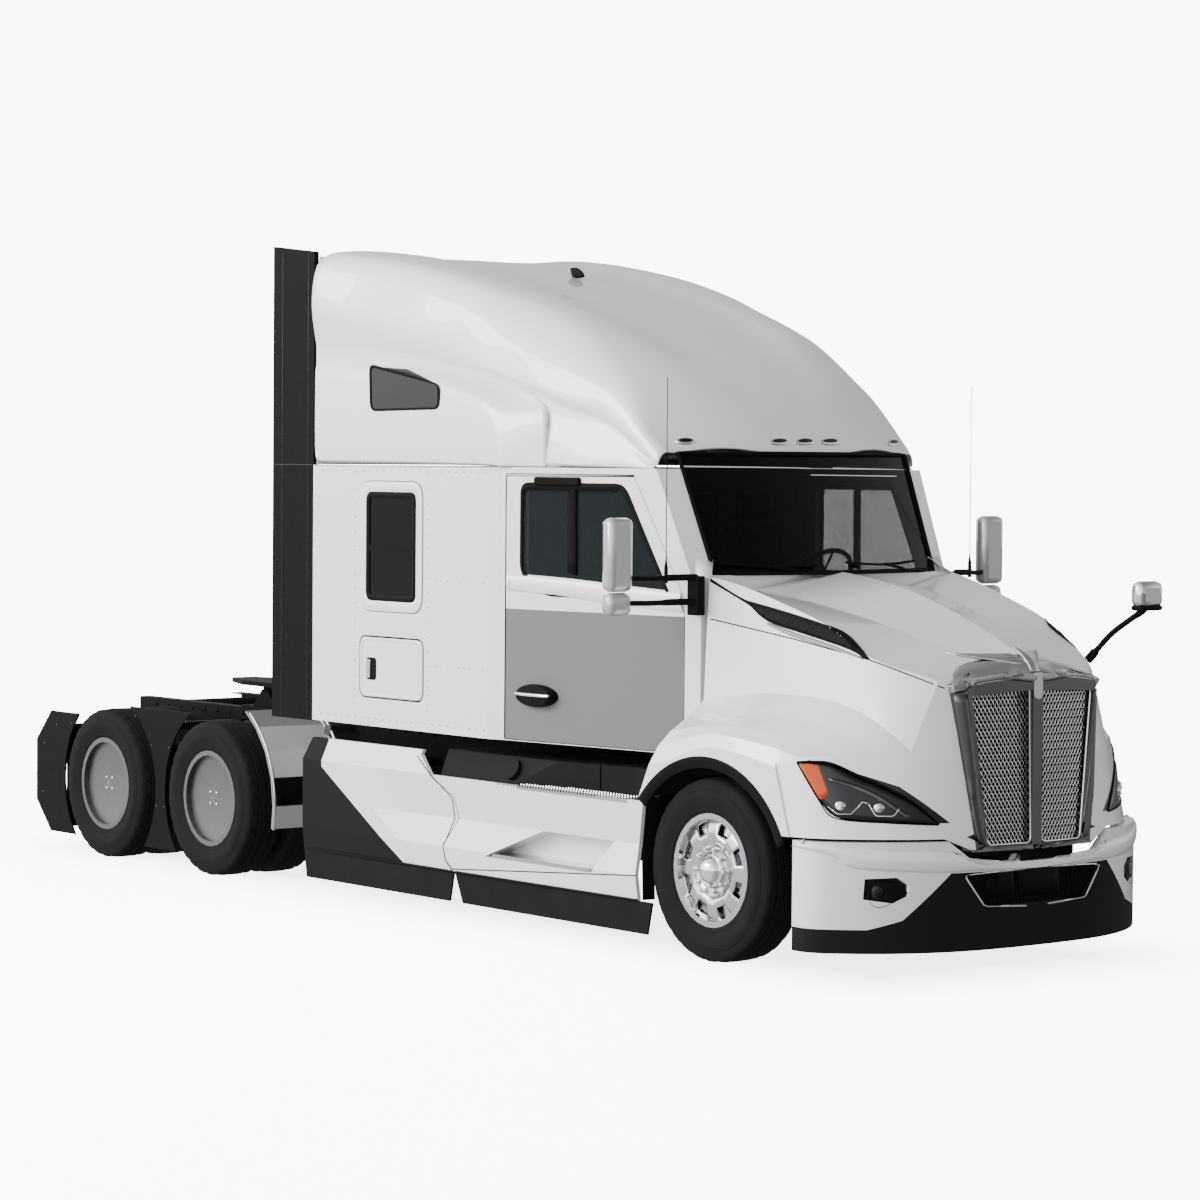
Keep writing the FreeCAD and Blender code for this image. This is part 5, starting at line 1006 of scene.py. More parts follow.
def headlamp():
    """Dark lens with an amber corner, two projectors over chevron guides, and a brow."""
    lens = band(Shape(), lamp_skin, nose_view,
                [(458, 647), (515, 647), (560, 652), (640, 690), (715, 722), (800, 770), (862, 824)],
                [(460, 655), (522, 757), (560, 800), (620, 815), (720, 820), (800, 824), (862, 826)], 30, 7, 1.5, 3.0)
    lens.both_sides("headlamp_lens", lamp_smoke, "hood", thickness=3.0)
    amber = band(Shape(), lamp_skin, nose_view, [(463, 652), (490, 650), (520, 655)],
                 [(521, 752), (535, 752), (549, 738)], 10, 7, 5.0, 2.0)
    amber.both_sides("amber_corner", amber_lens, "hood", thickness=3.0)
    blade = band(Shape(), lamp_skin, nose_view, [(545, 690), (600, 702), (690, 738), (790, 806)],
                 [(556, 704), (600, 716), (684, 752), (772, 808)], 18, 3, 5.0, 4.0)
    blade.both_sides("lamp_blade", grille_satin, "hood", thickness=3.0)
    guides = Shape()
    for line in ([(546, 774), (572, 796), (612, 797), (632, 778)], [(632, 778), (645, 762), (660, 765)],
                 [(664, 768), (684, 802), (736, 803), (752, 782)]):
        guides.tube(trace(lamp_skin, nose_view, line, 12, 7.0, False), 3.6, 6)
    guides.both_sides("light_guides", lamp_white, "hood")
    eyes = Shape()
    for centre in ((582, 772), (694, 778)):
        spot(eyes, lamp_skin, nose_view, centre, 17, 15, 5.0, 14.0)
    eyes.both_sides("projectors", mirror_chrome, "hood")
    over = [(456, 645), (515, 644), (560, 650), (640, 686), (715, 718), (800, 766), (868, 826)]
    under = [(456, 647), (522, 760), (568, 808), (720, 822), (866, 828)]
    brow = Shape()
    brow.tube(trace(lamp_skin, nose_view, over, 30, 2.0), 6.0, 6)
    brow.tube(trace(lamp_skin, nose_view, under, 30, 1.5), 3.5, 6)
    brow.both_sides("lamp_brow", trim_black, "hood")


def held_back(shape):
    """The shape with no point ahead of the bumper's front."""
    shape.points = [(x, max(y, bumper_front), z) for x, y, z in shape.points]
    return shape


def bumper_details():
    """The moulded ledge, fog pods and lower grille of the bumper."""
    ledge = band(Shape(), bumper, nose_view,
                 [(440, 874), (560, 884), (700, 900), (905, 908), (1000, 925), (1150, 932)],
                 [(444, 892), (560, 918), (625, 955), (860, 967), (1000, 960), (1150, 952)], 40, 7, 0.5, 16.0)
    held_back(ledge).both_sides("bumper_ledge", cab_paint, "root", thickness=2.0)
    pod = band(Shape(), bumper, nose_view, [(664, 1012), (672, 994), (690, 989), (742, 991), (778, 1024)],
               [(666, 1040), (672, 1060), (700, 1068), (740, 1050), (778, 1026)], 20, 5, 1.5, 4.0)
    pod.both_sides("fog_pod", trim_black, "root", thickness=4.0)
    lens = spot(Shape(), bumper, nose_view, (688, 1024), 17, 22, 5.0, 7.0)
    lens.both_sides("fog_lens", lamp_smoke, "root")
    weave = wire_mesh(Shape(), bumper_mouth, nose_view, [(950, 975), (1150, 953)], [(1003, 1058), (1150, 1054)],
                      13, 3.0, 4.0, 4.0, 4)
    held_back(weave).both_sides("bumper_weave", trim_black, "root")
    edge = trace(bumper_mouth, nose_view, [(1150, 950), (942, 974), (948, 985), (1000, 1064), (1150, 1061)],
                 40, 4.0, False)
    frame_line = Shape().tube(edge, 4.5, 6)
    held_back(frame_line).both_sides("bumper_grille_trim", bright_trim, "root")
    blanks = Shape()
    for a, b, c, d in ((1003, 971, 1083, 1036), (1097, 961, 1215, 1030)):
        band(blanks, bumper_mouth, nose_view, [(a, b), (c, b - 10)], [(a, d), (c, d - 5)], 8, 3, 9.0)
    held_back(blanks).piece("blank_covers", trim_black, "root", thickness=6.0)


arch_y = -22.0
arch_z = 405.0
lip_section = ((730.0, 1216.0), (729.0, 1222.0), (716.0, 1224.0), (690.0, 1222.0), (666.0, 1214.0),
               (656.0, 1200.0))


def arch_lip():
    """The black rolled lip round each front wheel arch, clear of the steered tyre."""
    turns = [math.radians(39.0 + 116.0 * k / 48) for k in range(49)]
    lip = Shape().loft([[(-x, arch_y + r * math.cos(t), arch_z + r * math.sin(t)) for t in turns]
                        for r, x in lip_section])
    lip.both_sides("arch_lip", trim_black, "hood", thickness=4.0)


cowl = ("cab_shell", "cab_glass", "hood_shell")
cowl_corner = ((695.0, 560.0), (713.0, 560.0), (712.0, 578.0), (696.0, 579.0))


def rim_point(x, z):
    """A place just ahead of the leaning, bowed windscreen."""
    return (x, 240.0 + (z - 2114.0) * 0.421 + 276.0 * (x / 1219.0) ** 2 - 4.0, z)


def screen_details():
    """Gasket round the windscreen, two wipers, and the cover of each cowl corner."""
    low = [rim_point(-836 + 1672 * k / 24, 2110) for k in range(25)]
    right = [rim_point(836 + 30 * k / 8, 2110 + 668 * k / 8) for k in range(1, 9)]
    top = [rim_point(866 - 1732 * k / 24, 2780) for k in range(1, 25)]
    left = [rim_point(-866 + 30 * k / 8, 2780 - 668 * k / 8) for k in range(1, 8)]
    gasket = Shape()
    gasket.tube(low + right + top + left, 13.0, 8, True)
    gasket.piece("screen_gasket", trim_black, "root")
    wipers = Shape()
    for blade, arm in (([(-800, 2165), (-500, 2150), (-180, 2152)],
                        [(-330, 2122), (-420, 2138), (-500, 2152)]),
                       ([(40, 2165), (330, 2150), (640, 2165)], [(520, 2122), (440, 2138), (350, 2152)])):
        for line, size, proud in ((blade, 7.0, 16.0), (arm, 9.0, 20.0)):
            points = [(x, rim_point(x, z)[1] - proud, z) for x, z in line]
            wipers.tube(curved(points, 12), size, 6)
    wipers.piece("wipers", trim_black, "root")
    corner = Shape()
    corner.add([seen(cowl, across, down, 4.0) for across, down in cowl_corner], [(0, 1, 2, 3)])
    corner.both_sides("cowl_corner_cover", cab_paint, "root", thickness=3.0)


def block(shape, low, high):
    """A block between two corners, for its piece's bevel to round."""
    (x0, y0, z0), (x1, y1, z1) = low, high
    return shape.plate([(x0, y0), (x1, y0), (x1, y1), (x0, y1)], "z", z0, z1)


def mirrors():
    """Tall door mirrors on two arms with whip aerials, and the hood mirror on its curved arm."""
    heads = Shape()
    block(heads, (1338, 446, 2014), (1503, 544, 2420))
    block(heads, (1342, 452, 1882), (1500, 542, 2008))
    heads.both_sides("mirror_heads", mirror_silver, "root", bevel=34.0, stands_for=("door_mirrors",))
    faces = Shape()
    for z0, z1 in ((2036, 2398), (1900, 1992)):
        faces.plate([(1356, z0), (1486, z0), (1486, z1), (1356, z1)], "y", 541.0, 544.5)
    faces.both_sides("mirror_faces", mirror_chrome, "root", bevel=1.0)
    arms = Shape()
    for z in (1950.0, 2085.0):
        bend = curved([(985, 330, z + 8), (1120, 372, z + 6), (1240, 430, z), (1345, 482, z)], 14)
        arms.tube(bend, [20.0] * 7 + [16.0] * 7, 8)
    arms.plate([(952, 302), (1005, 302), (1020, 380), (975, 380)], "z", 1882.0, 2100.0)
    arms.both_sides("mirror_arms", trim_black, "root", bevel=6.0)
    whips = Shape()
    for x in (1160.0, -1160.0):
        whips.tube([(x, 392, z) for z in (2060, 2150, 2165, 2200)], [11.0, 11.0, 7.0, 4.0], 8)
        whips.tube([(x, 392, z) for z in (2200, 3185, 3192)], [3.0, 2.2, 3.5], 6)
    whips.piece("whip_aerials", trim_black, "root")
    head = Shape()
    block(head, (905, -1226, 1942), (1094, -1134, 2090))
    head.piece("hood_mirror_head", mirror_chrome, "hood", bevel=36.0, stands_for=("hood_mirror",))
    bend = curved([(880, -852, 1640), (890, -900, 1690), (925, -985, 1790), (962, -1085, 1870),
                   (990, -1160, 1925), (998, -1172, 1950)], 24)
    arm = Shape().tube(bend, [26.0] * 4 + [17.0] * 16 + [20.0] * 4, 10)
    arm.piece("hood_mirror_arm", trim_black, "hood")
    cup = Shape()
    block(cup, (912, -1222, 1926), (1088, -1138, 1956))
    cup.piece("hood_mirror_cup", trim_black, "hood", bevel=12.0)


intake()
grille()
headlamp()
bumper_details()
arch_lip()
screen_details()
mirrors()


# Doors, windows and side panels

door = ("door_right_shell", "door_right_glass")
white_side = 1219.0
door_front_x = 958.0
door_front_y = 330.0
door_slant = 0.1506


def on_door(y, z, lift):
    """A place on the slanted face of the right door."""
    return (-(door_front_x + door_slant * (y - door_front_y)) - lift, y, z)


def on_side(y, z, lift):
    """A place on the sleeper's right side."""
    return (-white_side - lift, y, z)


def both_doors(shape, name, finish, body="door", **more):
    """A piece for the right door and its twin for the left one."""
    shape.piece(name + "_right", finish, body + "_right", **more)
    shape.other_side().piece(name + "_left", finish, body + "_left", **more)


def grown(corners, by):
    """An outline moved outward by a distance, about its middle."""
    cy = sum(c[0] for c in corners) / len(corners)
    cz = sum(c[1] for c in corners) / len(corners)
    wide = max(abs(c[0] - cy) for c in corners)
    high = max(abs(c[1] - cz) for c in corners)
    return [(cy + (y - cy) * (wide + by) / wide, cz + (z - cz) * (high + by) / high) for y, z in corners]


def ring_on(shape, place, corners, outer, inner, proud, radius, base=-2.0):
    """A flat ring round an outline: outer and inner are how far its edges lie outside it."""
    big = curved_corners(grown(corners, outer), radius)
    small = curved_corners(grown(corners, inner), max(radius + inner - outer, 12.0))
    steps = ((big, base), (big, proud * 0.6), (between(big, small, 0.25), proud),
             (between(big, small, 0.75), proud), (small, proud * 0.6), (small, base))
    rows = [[place(y, z, lift) for y, z in line] for line, lift in steps]
    rows.append(rows[0])
    return shape.loft(rows, True)


def between(first, last, share):
    """A line part of the way from one to another."""
    return [(a[0] + (b[0] - a[0]) * share, a[1] + (b[1] - a[1]) * share) for a, b in zip(first, last)]


def panel_on(shape, place, corners, radius, low, high):
    """A flat plate with rounded corners on a wall."""
    line = curved_corners(corners, radius)
    return shape.loft([[place(y, z, lift) for y, z in line] for lift in (low, high)], True, True)


def upright(middle, half_wide, half_high):
    """A rectangle on a wall about a place."""
    y0, y1, z0, z1 = middle.y - half_wide, middle.y + half_wide, middle.z - half_high, middle.z + half_high
    return [(y0, z0), (y0, z1), (y1, z1), (y1, z0)]


door_light = [(549, 1960), (913, 2590), (1708, 2590), (1708, 2077), (1513, 1960)]
sleeper_light = [(2690, 1880), (2690, 2520), (3190, 2520), (3190, 1880)]
roof_light = [(3184, 3308), (2455, 3177), (2454, 3030), (3171, 3022)]
luggage_edge = [(2603, 1277), (2603, 1649), (3270, 1649), (3270, 1277)]
handle_x = 1144.6
handle_y = 1578.0
handle_z = 1372.0
handle_wide = 172.0
handle_high = 66.0


def on_handle(y, z, proud):
    """A place on the door's handle, never behind the door's own face."""
    return (-max(handle_x + proud, door_front_x - 1.0 + door_slant * (y - door_front_y)), y, z)


def door_trim():
    """Seal, divider, vent cover, belt moulding and pull handle of each door."""
    both_doors(ring_on(Shape(), on_door, door_light, 14.0, -26.0, 7.0, 70.0), "window_seal", trim_black)
    divider = band(Shape(), door, photo, [(568.5, 478), (568.5, 573)], [(577.5, 480), (577.5, 575)],
                   8, 4, 9.0, 3.0)
    both_doors(divider, "window_divider", trim_black, thickness=8.0)
    vent = panel_on(Shape(), on_door, [(1240, 2588), (1240, 2636), (1590, 2636), (1590, 2588)],
                    16.0, -2.0, 24.0)
    both_doors(vent, "vent_cover", trim_black, bevel=6.0)
    above = curved(trace(door, photo, [(508, 573), (550, 576), (597, 582), (684, 592)], 4, 0.0), 24)
    below = curved(trace(door, photo, [(508, 591), (550, 595), (597, 603), (684, 614)], 4, 0.0), 24)
    rows = []
    for share, proud in ((0.0, -2.0), (0.08, 7.0), (0.25, 13.0), (0.5, 16.0), (0.75, 13.0), (0.92, 7.0),
                         (1.0, -2.0)):
        row = [a.lerp(b, share) for a, b in zip(above, below)]
        rows.append([on_door(p.y, p.z, proud) for p in row])
    belt = Shape().loft(rows)
    both_doors(belt, "belt_moulding", cab_paint)
    shell = []
    for size, proud in ((1.0, -300.0), (1.0, 12.0), (0.97, 28.0), (0.92, 37.0), (0.8, 39.0), (0.4, 38.0),
                        (0.05, 38.0)):
        shell.append([on_handle(handle_y + handle_wide * y, handle_z + handle_high * z, proud)
                      for y, z in circle(32, size, (0.0, 0.0))])
    pod = Shape().loft(shell, True, True)
    both_doors(pod, "handle_pod", trim_black, sharp=50)
    lever = Shape()
    reach = [(-0.92, 20.0), (-0.88, 38.0), (-0.8, 45.0), (0.0, 47.0), (0.8, 45.0), (0.88, 38.0),
             (0.92, 20.0)]
    lever.tube([on_handle(handle_y + handle_wide * share, handle_z + 6.0, proud) for share, proud in reach],
               [7.0, 9.0, 10.0, 11.0, 11.0, 10.0, 7.0], 8)
    both_doors(lever, "pull_handle", mirror_chrome)
    stile = Shape()
    stile.tube([on_door(y, z, 1.0) for y, z in ((1832, 1112), (1832, 2640), (838, 2645))], 4.0, 6)
    both_doors(stile, "door_edge_seal", trim_black)


def sleeper_trim():
    """Frames of the sleeper's windows, luggage door beading and latch, and rivet rows."""
    frame_panel = ring_on(Shape(), on_side, sleeper_light, 74.0, 10.0, 9.0, 110.0)
    frame_panel.both_sides("sleeper_window_panel", cab_paint, "root")
    seal = ring_on(Shape(), on_side, sleeper_light, 12.0, -26.0, 12.0, 60.0)
    seal.plate([(2700, 2176), (3180, 2176), (3180, 2206), (2700, 2206)], "x", -1227.0, -1215.0)
    seal.both_sides("sleeper_window_seal", trim_black, "root")
    pane = panel_on(Shape(), on_side, grown(sleeper_light, -20.0), 46.0, -5.0, 2.0)
    pane.both_sides("sleeper_pane", dark_pane, "root")
    roof_seal = ring_on(Shape(), on_side, roof_light, 4.0, -20.0, 4.0, 60.0)
    roof_seal.both_sides("roof_window_seal", trim_black, "root")
    roof_pane = panel_on(Shape(), on_side, grown(roof_light, -8.0), 52.0, -3.0, 0.8)
    roof_pane.both_sides("roof_pane", lamp_smoke, "root")
    bead = ring_on(Shape(), on_side, luggage_edge, -5.0, -24.0, 5.0, 70.0)
    both_doors(bead, "luggage_bead", cab_paint, "luggage")
    grip = seen(("luggage_door_right",), 371.5, 668.5)
    latch = panel_on(Shape(), on_side, upright(grip, 50.0, 68.0), 24.0, -2.0, 6.0)
    both_doors(latch, "luggage_latch", trim_black, "luggage", bevel=3.0)
    grip.y += 20.0
    tab = panel_on(Shape(), on_side, upright(grip, 20.0, 56.0), 10.0, 4.0, 14.0)
    both_doors(tab, "latch_tab", mirror_chrome, "luggage", bevel=3.0)
    gap = ring_on(Shape(), on_side, luggage_edge, 5.0, -1.0, 1.2, 66.0)
    ring_on(gap, on_side, sleeper_light, 79.0, 74.0, 1.2, 112.0)
    gap.both_sides("luggage_gap_seal", trim_black, "root")
    rivets = Shape()
    places = [(y, z) for z in (2658.0, 1148.0) for y in range(1985, 3760, 74)]
    places += [(y, z) for z in (2010.0, 1500.0) for y in range(2010, 2590, 118)]
    places += [(y, z) for y in (3330.0, 2560.0) for z in range(1230, 2640, 88)]
    for y, z in places:
        rivet(rivets, y, z)
    rivets.both_sides("side_rivets", mirror_silver, "root")


def rivet(shape, y, z, x=white_side, size=7.0):
    """A domed rivet head on the right side."""
    head = ((-1.0, size), (1.6, size * 0.8), (2.6, size * 0.35))
    shape.loft([[(-x - lift, *place) for place in circle(8, r, (y, z))] for lift, r in head], True, True)


def roof_fittings():
    """Five marker lamps in rounded bright pods, the fin and the seam strip."""
    roof = ("roof_skin",)
    pods = Shape()
    glow = Shape()
    for across, down, pod_wide, lens_wide in ((685, 441.5, 10.0, 7.4), (779, 442, 10.0, 7.4), (804.5, 442, 10.0, 7.4),
                                              (829.5, 442, 10.0, 7.4), (893, 443, 6.0, 4.2)):
        spot(pods, roof, photo, (across, down), pod_wide, 3.6, 1.0, 12.0, 24)
        spot(glow, roof, photo, (across, down), lens_wide, 2.1, 10.0, 6.5, 16)
    pods.piece("marker_pods", mirror_chrome, "root", stands_for=("roof_lamps",))
    glow.piece("marker_lenses", lamp_smoke, "root")
    rows = []
    for z, front, back, half in ((3852, 2560, 2790, 16), (3890, 2600, 2790, 13), (3915, 2650, 2792, 8),
                                 (3926, 2690, 2790, 3)):
        middle = (front + back) / 2
        rows.append([(0, front, z), (half, middle, z), (0, back, z), (-half, middle, z)])
    fin = Shape().loft(rows, True, True)
    fin.piece("roof_fin", trim_black, "root", levels=1)
    strip = Shape()
    strip.plate([(1985, 2684), (3788, 2684), (3788, 2692), (1985, 2692)], "x", -1219.6, -1212.0)
    strip.both_sides("roof_seam_strip", bright_trim, "root")
    lines = Shape()
    for x, y in ((-1219.4, 3850.0), (-1219.4, 4140.0)):
        lines.tube([(x, y, 1105), (x, y, 2600), (x, y, 4030)], 2.4, 6)
    lines.tube([(-1219.4, 3795, 2690), (-1219.4, 4248, 2690)], 3.0, 6)
    lines.both_sides("extender_ribs", lamp_smoke, "root")


fairing = ("fairings_front", "fairings_rear")


def fairing_trim():
    """Seam gasket, tread teeth, painted shade in the tread's holes, and the beads of the skirts of the side fairings.
    """
    line = [(484, 148), (545, 236), (628, 318), (640, 405), (592, 520), (600, 580), (632, 626)]
    seam = Shape().tube(trace(fairing, fairing_view, line, 40, 0.5, False), 3.6, 6)
    seam.both_sides("fairing_seam", trim_black, "root")
    teeth = Shape()
    for k in range(36):
        y = 985.0 + 27.0 * k
        teeth.plate([(1196, y), (1217, y), (1217, y + 14), (1196, y + 14)], "z", 406.0, 416.0)
    for row in range(4):
        for k in range(38):
            y = 700.0 + 26.0 * k + (13.0 if row % 2 else 0.0)
            x = 1080.0 + 32.0 * row
            if x < 1205.0 - max(0.0, (900.0 - y) * 0.1):
                tooth = ((10.0, 849.0), (7.0, 855.0))
                teeth.loft([[(*place, z) for place in circle(6, r, (x, y))] for r, z in tooth], True, True)
    teeth.both_sides("tread_teeth", bright_trim, "root")
    # The tread's holes and the notches along its edge are thin black discs and triangles: painted shade, with no
    # holes cut.
    holes = Shape()
    for k in range(36):
        y = 930.0 + 26.0 * k
        holes.plate([(y, 849.0), (y + 18.0, 849.0), (y + 9.0, 837.0)], "x", -1219.2, -1217.4)
        for row in range(4):
            middle = (-1090.0 - 32.0 * row, y + (13.0 if row % 2 == 0 else 0.0))
            holes.loft([[(*place, z) for place in circle(6, 9.0, middle)] for z in (849.0, 850.6)], True, True)
    holes.both_sides("tread_hole_shade", trim_black, "root")
    lip = Shape()
    lip.tube([(-1212, 560, 292), (-1214, 1400, 290), (-1214, 2270, 288)], 7.0, 6)
    lip.tube([(-1214, 2306, 288), (-1212, 3100, 288), (-1205, 3880, 288)], 7.0, 6)
    lip.both_sides("skirt_bead", trim_black, "root")


def rear_trim():
    """Rolled fender edges, panel rivets, tail lamp lenses and frame bolt heads."""
    roll = Shape()
    for x in (-1150.0, -610.0):
        arc = [(x, 5030.0 + 716.0 * math.cos(t), 507.0 + 716.0 * math.sin(t))
               for t in [math.radians(126.0 + 66.0 * k / 24) for k in range(25)]]
        roll.tube(arc, 9.0, 8)
    roll.both_sides("fender_roll", polished_alloy, "root", sharp=60)
    rivets = Shape()
    for y, z in ((5370, 985), (6010, 985), (5580, 800), (5800, 800), (5640, 400), (5740, 400),
                 (6860, 880), (7060, 860), (7230, 720), (7250, 380)):
        rivet(rivets, y, z, 1161.5, 10.0)
    rivets.both_sides("panel_rivets", lamp_smoke, "root")
    bolts = Shape()
    head = ((-1.0, 11.0), (6.0, 11.0), (7.5, 8.0))
    for y in range(-900, 7100, 160):
        for z in (800.0, 985.0):
            bolts.loft([[(-430.0 - lift, *place) for place in circle(6, r, (y, z))] for lift, r in head], True, True)
    bolts.both_sides("frame_bolts", axle_iron, "root")
    back = (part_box("tail_lamps")[1].y - nose_shift) * 1000
    lens = ((34.0, 0.0), (33.0, 4.0), (20.0, 5.6), (3.0, 5.9))
    lamps = Shape()
    rims = Shape()
    for middle in ((-475.0, 880.0), (-397.0, 880.0), (-319.0, 880.0)):
        lamps.loft([[(x, back - 6.0 + lift, z) for x, z in circle(24, r, middle)] for r, lift in lens], True, True)
        rims.tube([(x, back - 3.5, z) for x, z in circle(24, 36.0, middle)], 3.0, 6, True)
    lamps.both_sides("tail_lenses", tail_red, "root")
    rims.both_sides("tail_rims", trim_black, "root")


# Seats and bunk


def pillow(name, low, high, voxel, reach, finish):
    """A crowned cushion: a rounded block blown up as cloth, no point moving further than reach."""
    (x0, y0, z0), (x1, y1, z1) = low, high
    depth = min(x1 - x0, y1 - y0, z1 - z0)
    inset = depth * 0.10
    core = block(Shape(), (x0 + inset, y0 + inset, z0 + inset * 0.6), (x1 - inset, y1 - inset, z1 - inset * 0.9))
    made = core.piece(name, finish, "root", bevel=depth * 0.22)
    made.modifiers["edges"].segments = 4
    remesh = made.modifiers.new("weld", "REMESH")
    remesh.mode = "VOXEL"
    remesh.voxel_size = voxel * 0.001 * 1.0
    settle(made)
    rest = [v.co.copy() for v in made.data.vertices]
    cloth_layer = made.modifiers.new("swell", "CLOTH")
    cloth_layer.settings.use_pressure = True
    cloth_layer.settings.uniform_pressure_force = 4.0
    cloth_layer.settings.effector_weights.gravity = 0.0
    cloth_layer.settings.quality = 4
    for step in range(1, 21):
        bpy.context.scene.frame_set(step)
    settle(made)
    bpy.context.scene.frame_set(1)
    for vertex, before in zip(made.data.vertices, rest):
        move = vertex.co - before
        if move.length > reach * 0.001:
            vertex.co = before + move.normalized() * reach * 0.001
    for face in made.data.polygons:
        face.use_smooth = True
    rounded(made, 1)
    return made


def settle(made):
    """The piece's mesh with its modifiers worked in."""
    bpy.context.view_layer.update()
    shown = made.evaluated_get(bpy.context.evaluated_depsgraph_get())
    mesh = bpy.data.meshes.new_from_object(shown)
    made.modifiers.clear()
    made.data = mesh


def twin(made, name):
    """The same cushion on the other side of the cab."""
    mesh = made.data.copy()
    for vertex in mesh.vertices:
        vertex.co.x = -vertex.co.x
    mesh.flip_normals()
    other = placed(name, mesh)
    rounded(other, 1)
    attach(other, "root")
    return other


def seats():
    """Two high-backed seats with bright side stripes on a pedestal, and the bunk's mattress."""
    parts = (("seat_cushion", (238, 1080, 1562), (722, 1600, 1668)),
             ("seat_back", (248, 1508, 1672), (712, 1634, 2364)),
             ("head_rest", (358, 1522, 2376), (602, 1630, 2542)))
    for name, low, high in parts:
        made = pillow(name + "_left", low, high, 9.0, 12.0, seat_cloth)
        twin(made, name + "_right")
    stripes = Shape()
    for x, inward in ((268.0, 1), (692.0, -1)):
        stripes.tube(curved([(x, 1512, 1700), (x + 12 * inward, 1504, 1950), (x + 30 * inward, 1506, 2200),
                             (x + 58 * inward, 1510, 2350)], 20), 10.0, 8)
    stripes.both_sides("seat_stripes", seat_stripe, "root")
    frame_base = Shape()
    frame_base.plate([(340, 1140), (620, 1140), (620, 1520), (340, 1520)], "z", 1162.0, 1500.0)
    frame_base.plate([(300, 1110), (660, 1110), (660, 1560), (300, 1560)], "z", 1502.0, 1560.0)
    frame_base.both_sides("seat_pedestals", trim_black, "root", bevel=14.0, stands_for=("seats",))
    mattress = pillow("bunk_mattress", (-1150, 2784, 1602), (1150, 3726, 1758), 22.0, 20.0, bunk_cloth)
    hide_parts("bunk")
    board = Shape()
    board.plate([(-1150, 2784), (1150, 2784), (1150, 2804), (-1150, 2804)], "z", 1162.0, 1598.0)
    board.piece("bunk_front_board", trim_black, "root", bevel=4.0)


door_trim()
sleeper_trim()
roof_fittings()
fairing_trim()
rear_trim()
seats()


# Floor, light and camera

floor_glow = 8.5
# Painted shadow under the truck: half sizes of its footprint, how far the shadow fades beyond it, and how much of the
# floor's glow it takes away.
shade_half_wide = 0.75
shade_half_long = 3.9
shade_reach = 1.3
shade_depth = 0.55
overhead_glow = ((0.0, 0.34), (0.02, 1.0), (0.22, 1.0), (0.5, 0.72), (1.0, 0.42))
around_glow = ((0.0, 1.0), (0.2, 0.88), (0.42, 0.42), (0.6, 0.2), (0.8, 0.16), (1.0, 0.4))
room_glow = 3.8
dim_side = (0.88, -0.47, 0.0)


def stage_floor():
    """A pale floor with a painted shadow under the truck, that runs into a pale wall far behind."""
    reach = 60.0
    rise = 40.0
    bend = 14.0
    profile = [(-reach, 0.0), (reach, 0.0)]
    for i in range(1, 9):
        turn = math.pi / 2 * i / 8
        profile.append((reach + bend * math.sin(turn), bend * (1 - math.cos(turn))))
    profile.append((reach + bend, rise))
    mesh = bpy.data.meshes.new("stage_floor")
    shape = bmesh.new()
    rows = [[shape.verts.new((x, y, z)) for x in (-reach * 2, reach * 2)] for y, z in profile]
    for before, after in zip(rows, rows[1:]):
        shape.faces.new((before[0], before[1], after[1], after[0]))
    shape.to_mesh(mesh)
    shape.free()
    for face in mesh.polygons:
        face.use_smooth = True
    floor = placed("stage_floor", mesh)
    floor.rotation_euler = (0, 0, -camera_yaw)
    finish = Finish("floor_white", (0.93, 0.93, 0.93), 0.6, 0.0, Emission_Strength=floor_glow)
    x, y = finish.axes()[:2]
    across = x * math.cos(camera_yaw) + y * math.sin(camera_yaw)
    along = y * math.cos(camera_yaw) - x * math.sin(camera_yaw)
    # Painted shadow: the floor's glow falls to 1 - shade_depth inside the truck's footprint and comes back to full
    # shade_reach beyond it.
    beside = (abs(across) - shade_half_wide).at_least(0.0)
    ahead = (abs(along) - shade_half_long).at_least(0.0)
    away = ((beside * beside + ahead * ahead).root() / shade_reach).clamped()
    light = 1.0 - (1.0 - away) * (1.0 - away) * shade_depth
    finish.set("Emission Color", finish.blend(light, (0.0, 0.0, 0.0), (1.0, 1.0, 1.0)))
    finish.set("Base Color", finish.blend(finish.noise(0.3), (0.92, 0.92, 0.92), (0.94, 0.94, 0.94)))
    mesh.materials.append(finish.material)
    floor.visible_diffuse = False
    floor.visible_glossy = False


def soft_box(name, place, aim, size, power):
    """A rectangular light that faces a place."""
    light = bpy.data.lights.new(name, "AREA")
    light.shape = "RECTANGLE"
    light.size, light.size_y = size
    light.energy = power
    lamp = placed(name, light)
    lamp.location = place
    lamp.rotation_euler = (Vector(aim) - Vector(place)).to_track_quat("-Z", "Y").to_euler()


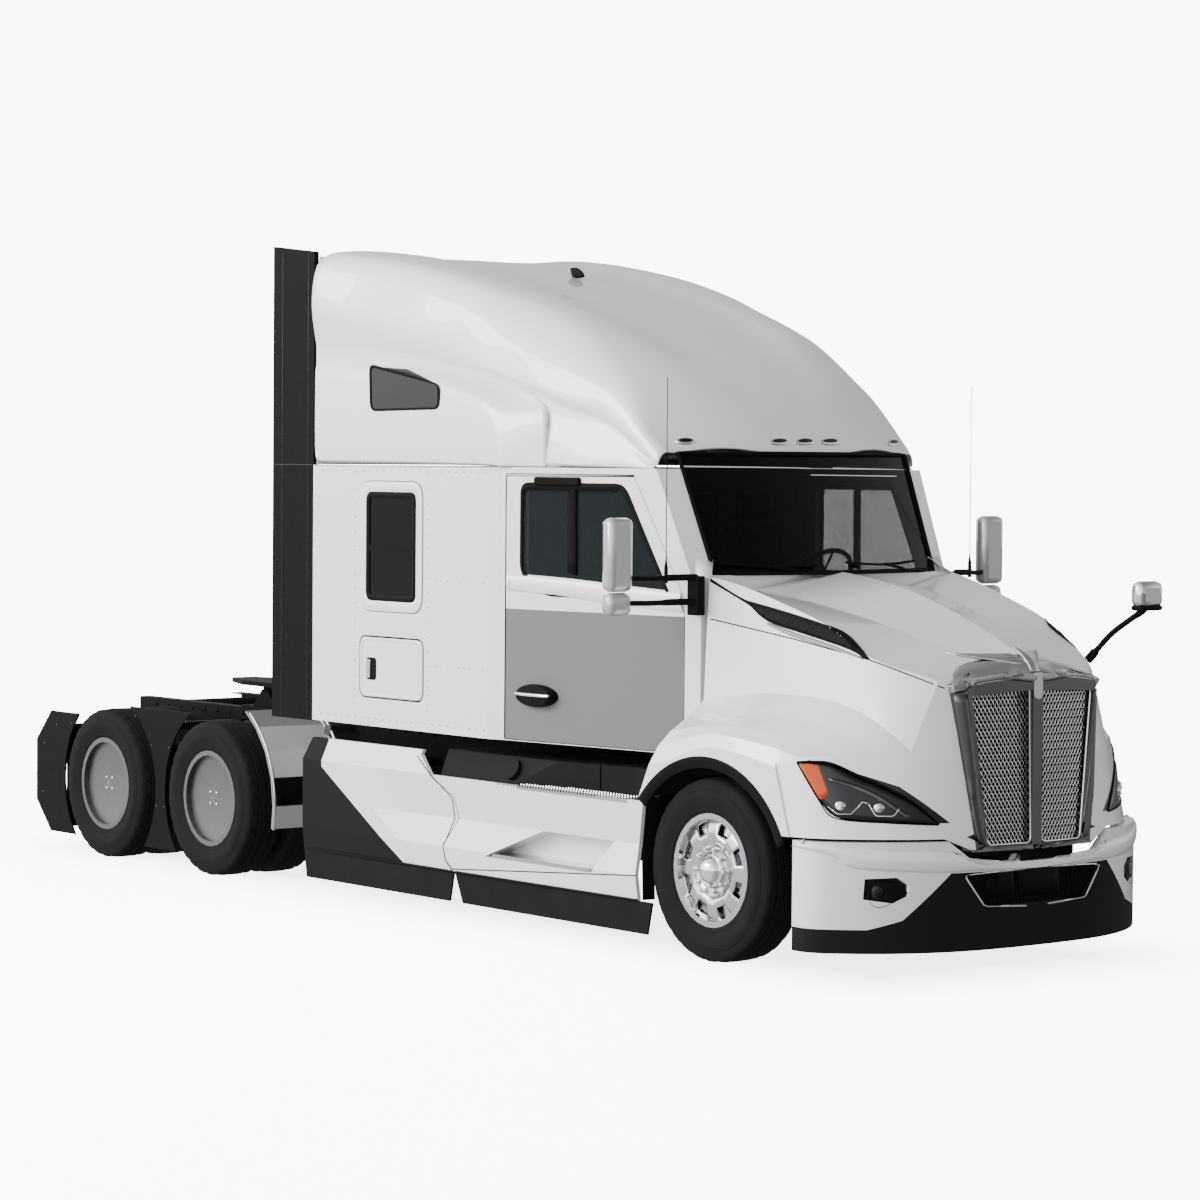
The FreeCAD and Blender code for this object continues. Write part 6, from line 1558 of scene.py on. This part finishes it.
def studio():
    """A soft room: brightest at eye level on the truck's right side, dim overhead."""
    world = bpy.data.worlds.new("studio")
    bpy.context.scene.world = world
    world.use_nodes = True
    tree = world.node_tree
    background = tree.nodes["Background"]
    background.inputs[0].default_value = (1.0, 1.0, 1.0, 1.0)
    coordinates = tree.nodes.new("ShaderNodeTexCoord")
    split = tree.nodes.new("ShaderNodeSeparateXYZ")
    tree.links.new(coordinates.outputs["Generated"], split.inputs[0])
    height = tree.nodes.new("ShaderNodeValToRGB")
    tree.links.new(split.outputs[2], height.inputs[0])
    fill_ramp(height.color_ramp, overhead_glow)
    turned = tree.nodes.new("ShaderNodeMapRange")
    turned.inputs["From Min"].default_value = -1.0
    towards = tree.nodes.new("ShaderNodeVectorMath")
    towards.operation = "DOT_PRODUCT"
    towards.inputs[1].default_value = dim_side
    tree.links.new(coordinates.outputs["Generated"], towards.inputs[0])
    tree.links.new(towards.outputs["Value"], turned.inputs["Value"])
    facing = tree.nodes.new("ShaderNodeValToRGB")
    fill_ramp(facing.color_ramp, around_glow)
    facing.color_ramp.interpolation = "EASE"
    tree.links.new(turned.outputs[0], facing.inputs[0])
    product = tree.nodes.new("ShaderNodeMath")
    product.operation = "MULTIPLY"
    tree.links.new(height.outputs[0], product.inputs[0])
    tree.links.new(facing.outputs[0], product.inputs[1])
    strength = tree.nodes.new("ShaderNodeMath")
    strength.operation = "MULTIPLY"
    strength.inputs[1].default_value = room_glow
    tree.links.new(product.outputs[0], strength.inputs[0])
    tree.links.new(strength.outputs[0], background.inputs[1])
    soft_box("side_box", (-13.0, 3.0, 8.5), (0.0, 0.5, 3.0), (12.0, 6.0), 2400.0)


def fill_ramp(ramp, stops):
    """Grey stops on a colour ramp, as (place, value)."""
    while len(ramp.elements) > 1:
        ramp.elements.remove(ramp.elements[-1])
    ramp.elements[0].position = stops[0][0]
    ramp.elements[0].color = (*[stops[0][1]] * 3, 1.0)
    for place, value in stops[1:]:
        ramp.elements.new(place).color = (*[value] * 3, 1.0)


def camera():
    """The camera that the photograph was taken with, as solved from it."""
    data = bpy.data.cameras.new("camera")
    data.lens = camera_lens
    data.sensor_width = sensor_width
    data.clip_end = 300.0
    eye = placed("camera", data)
    eye.matrix_world = Matrix.Translation(camera_place) @ eye_turn
    bpy.context.scene.camera = eye


stage_floor()
studio()
camera()
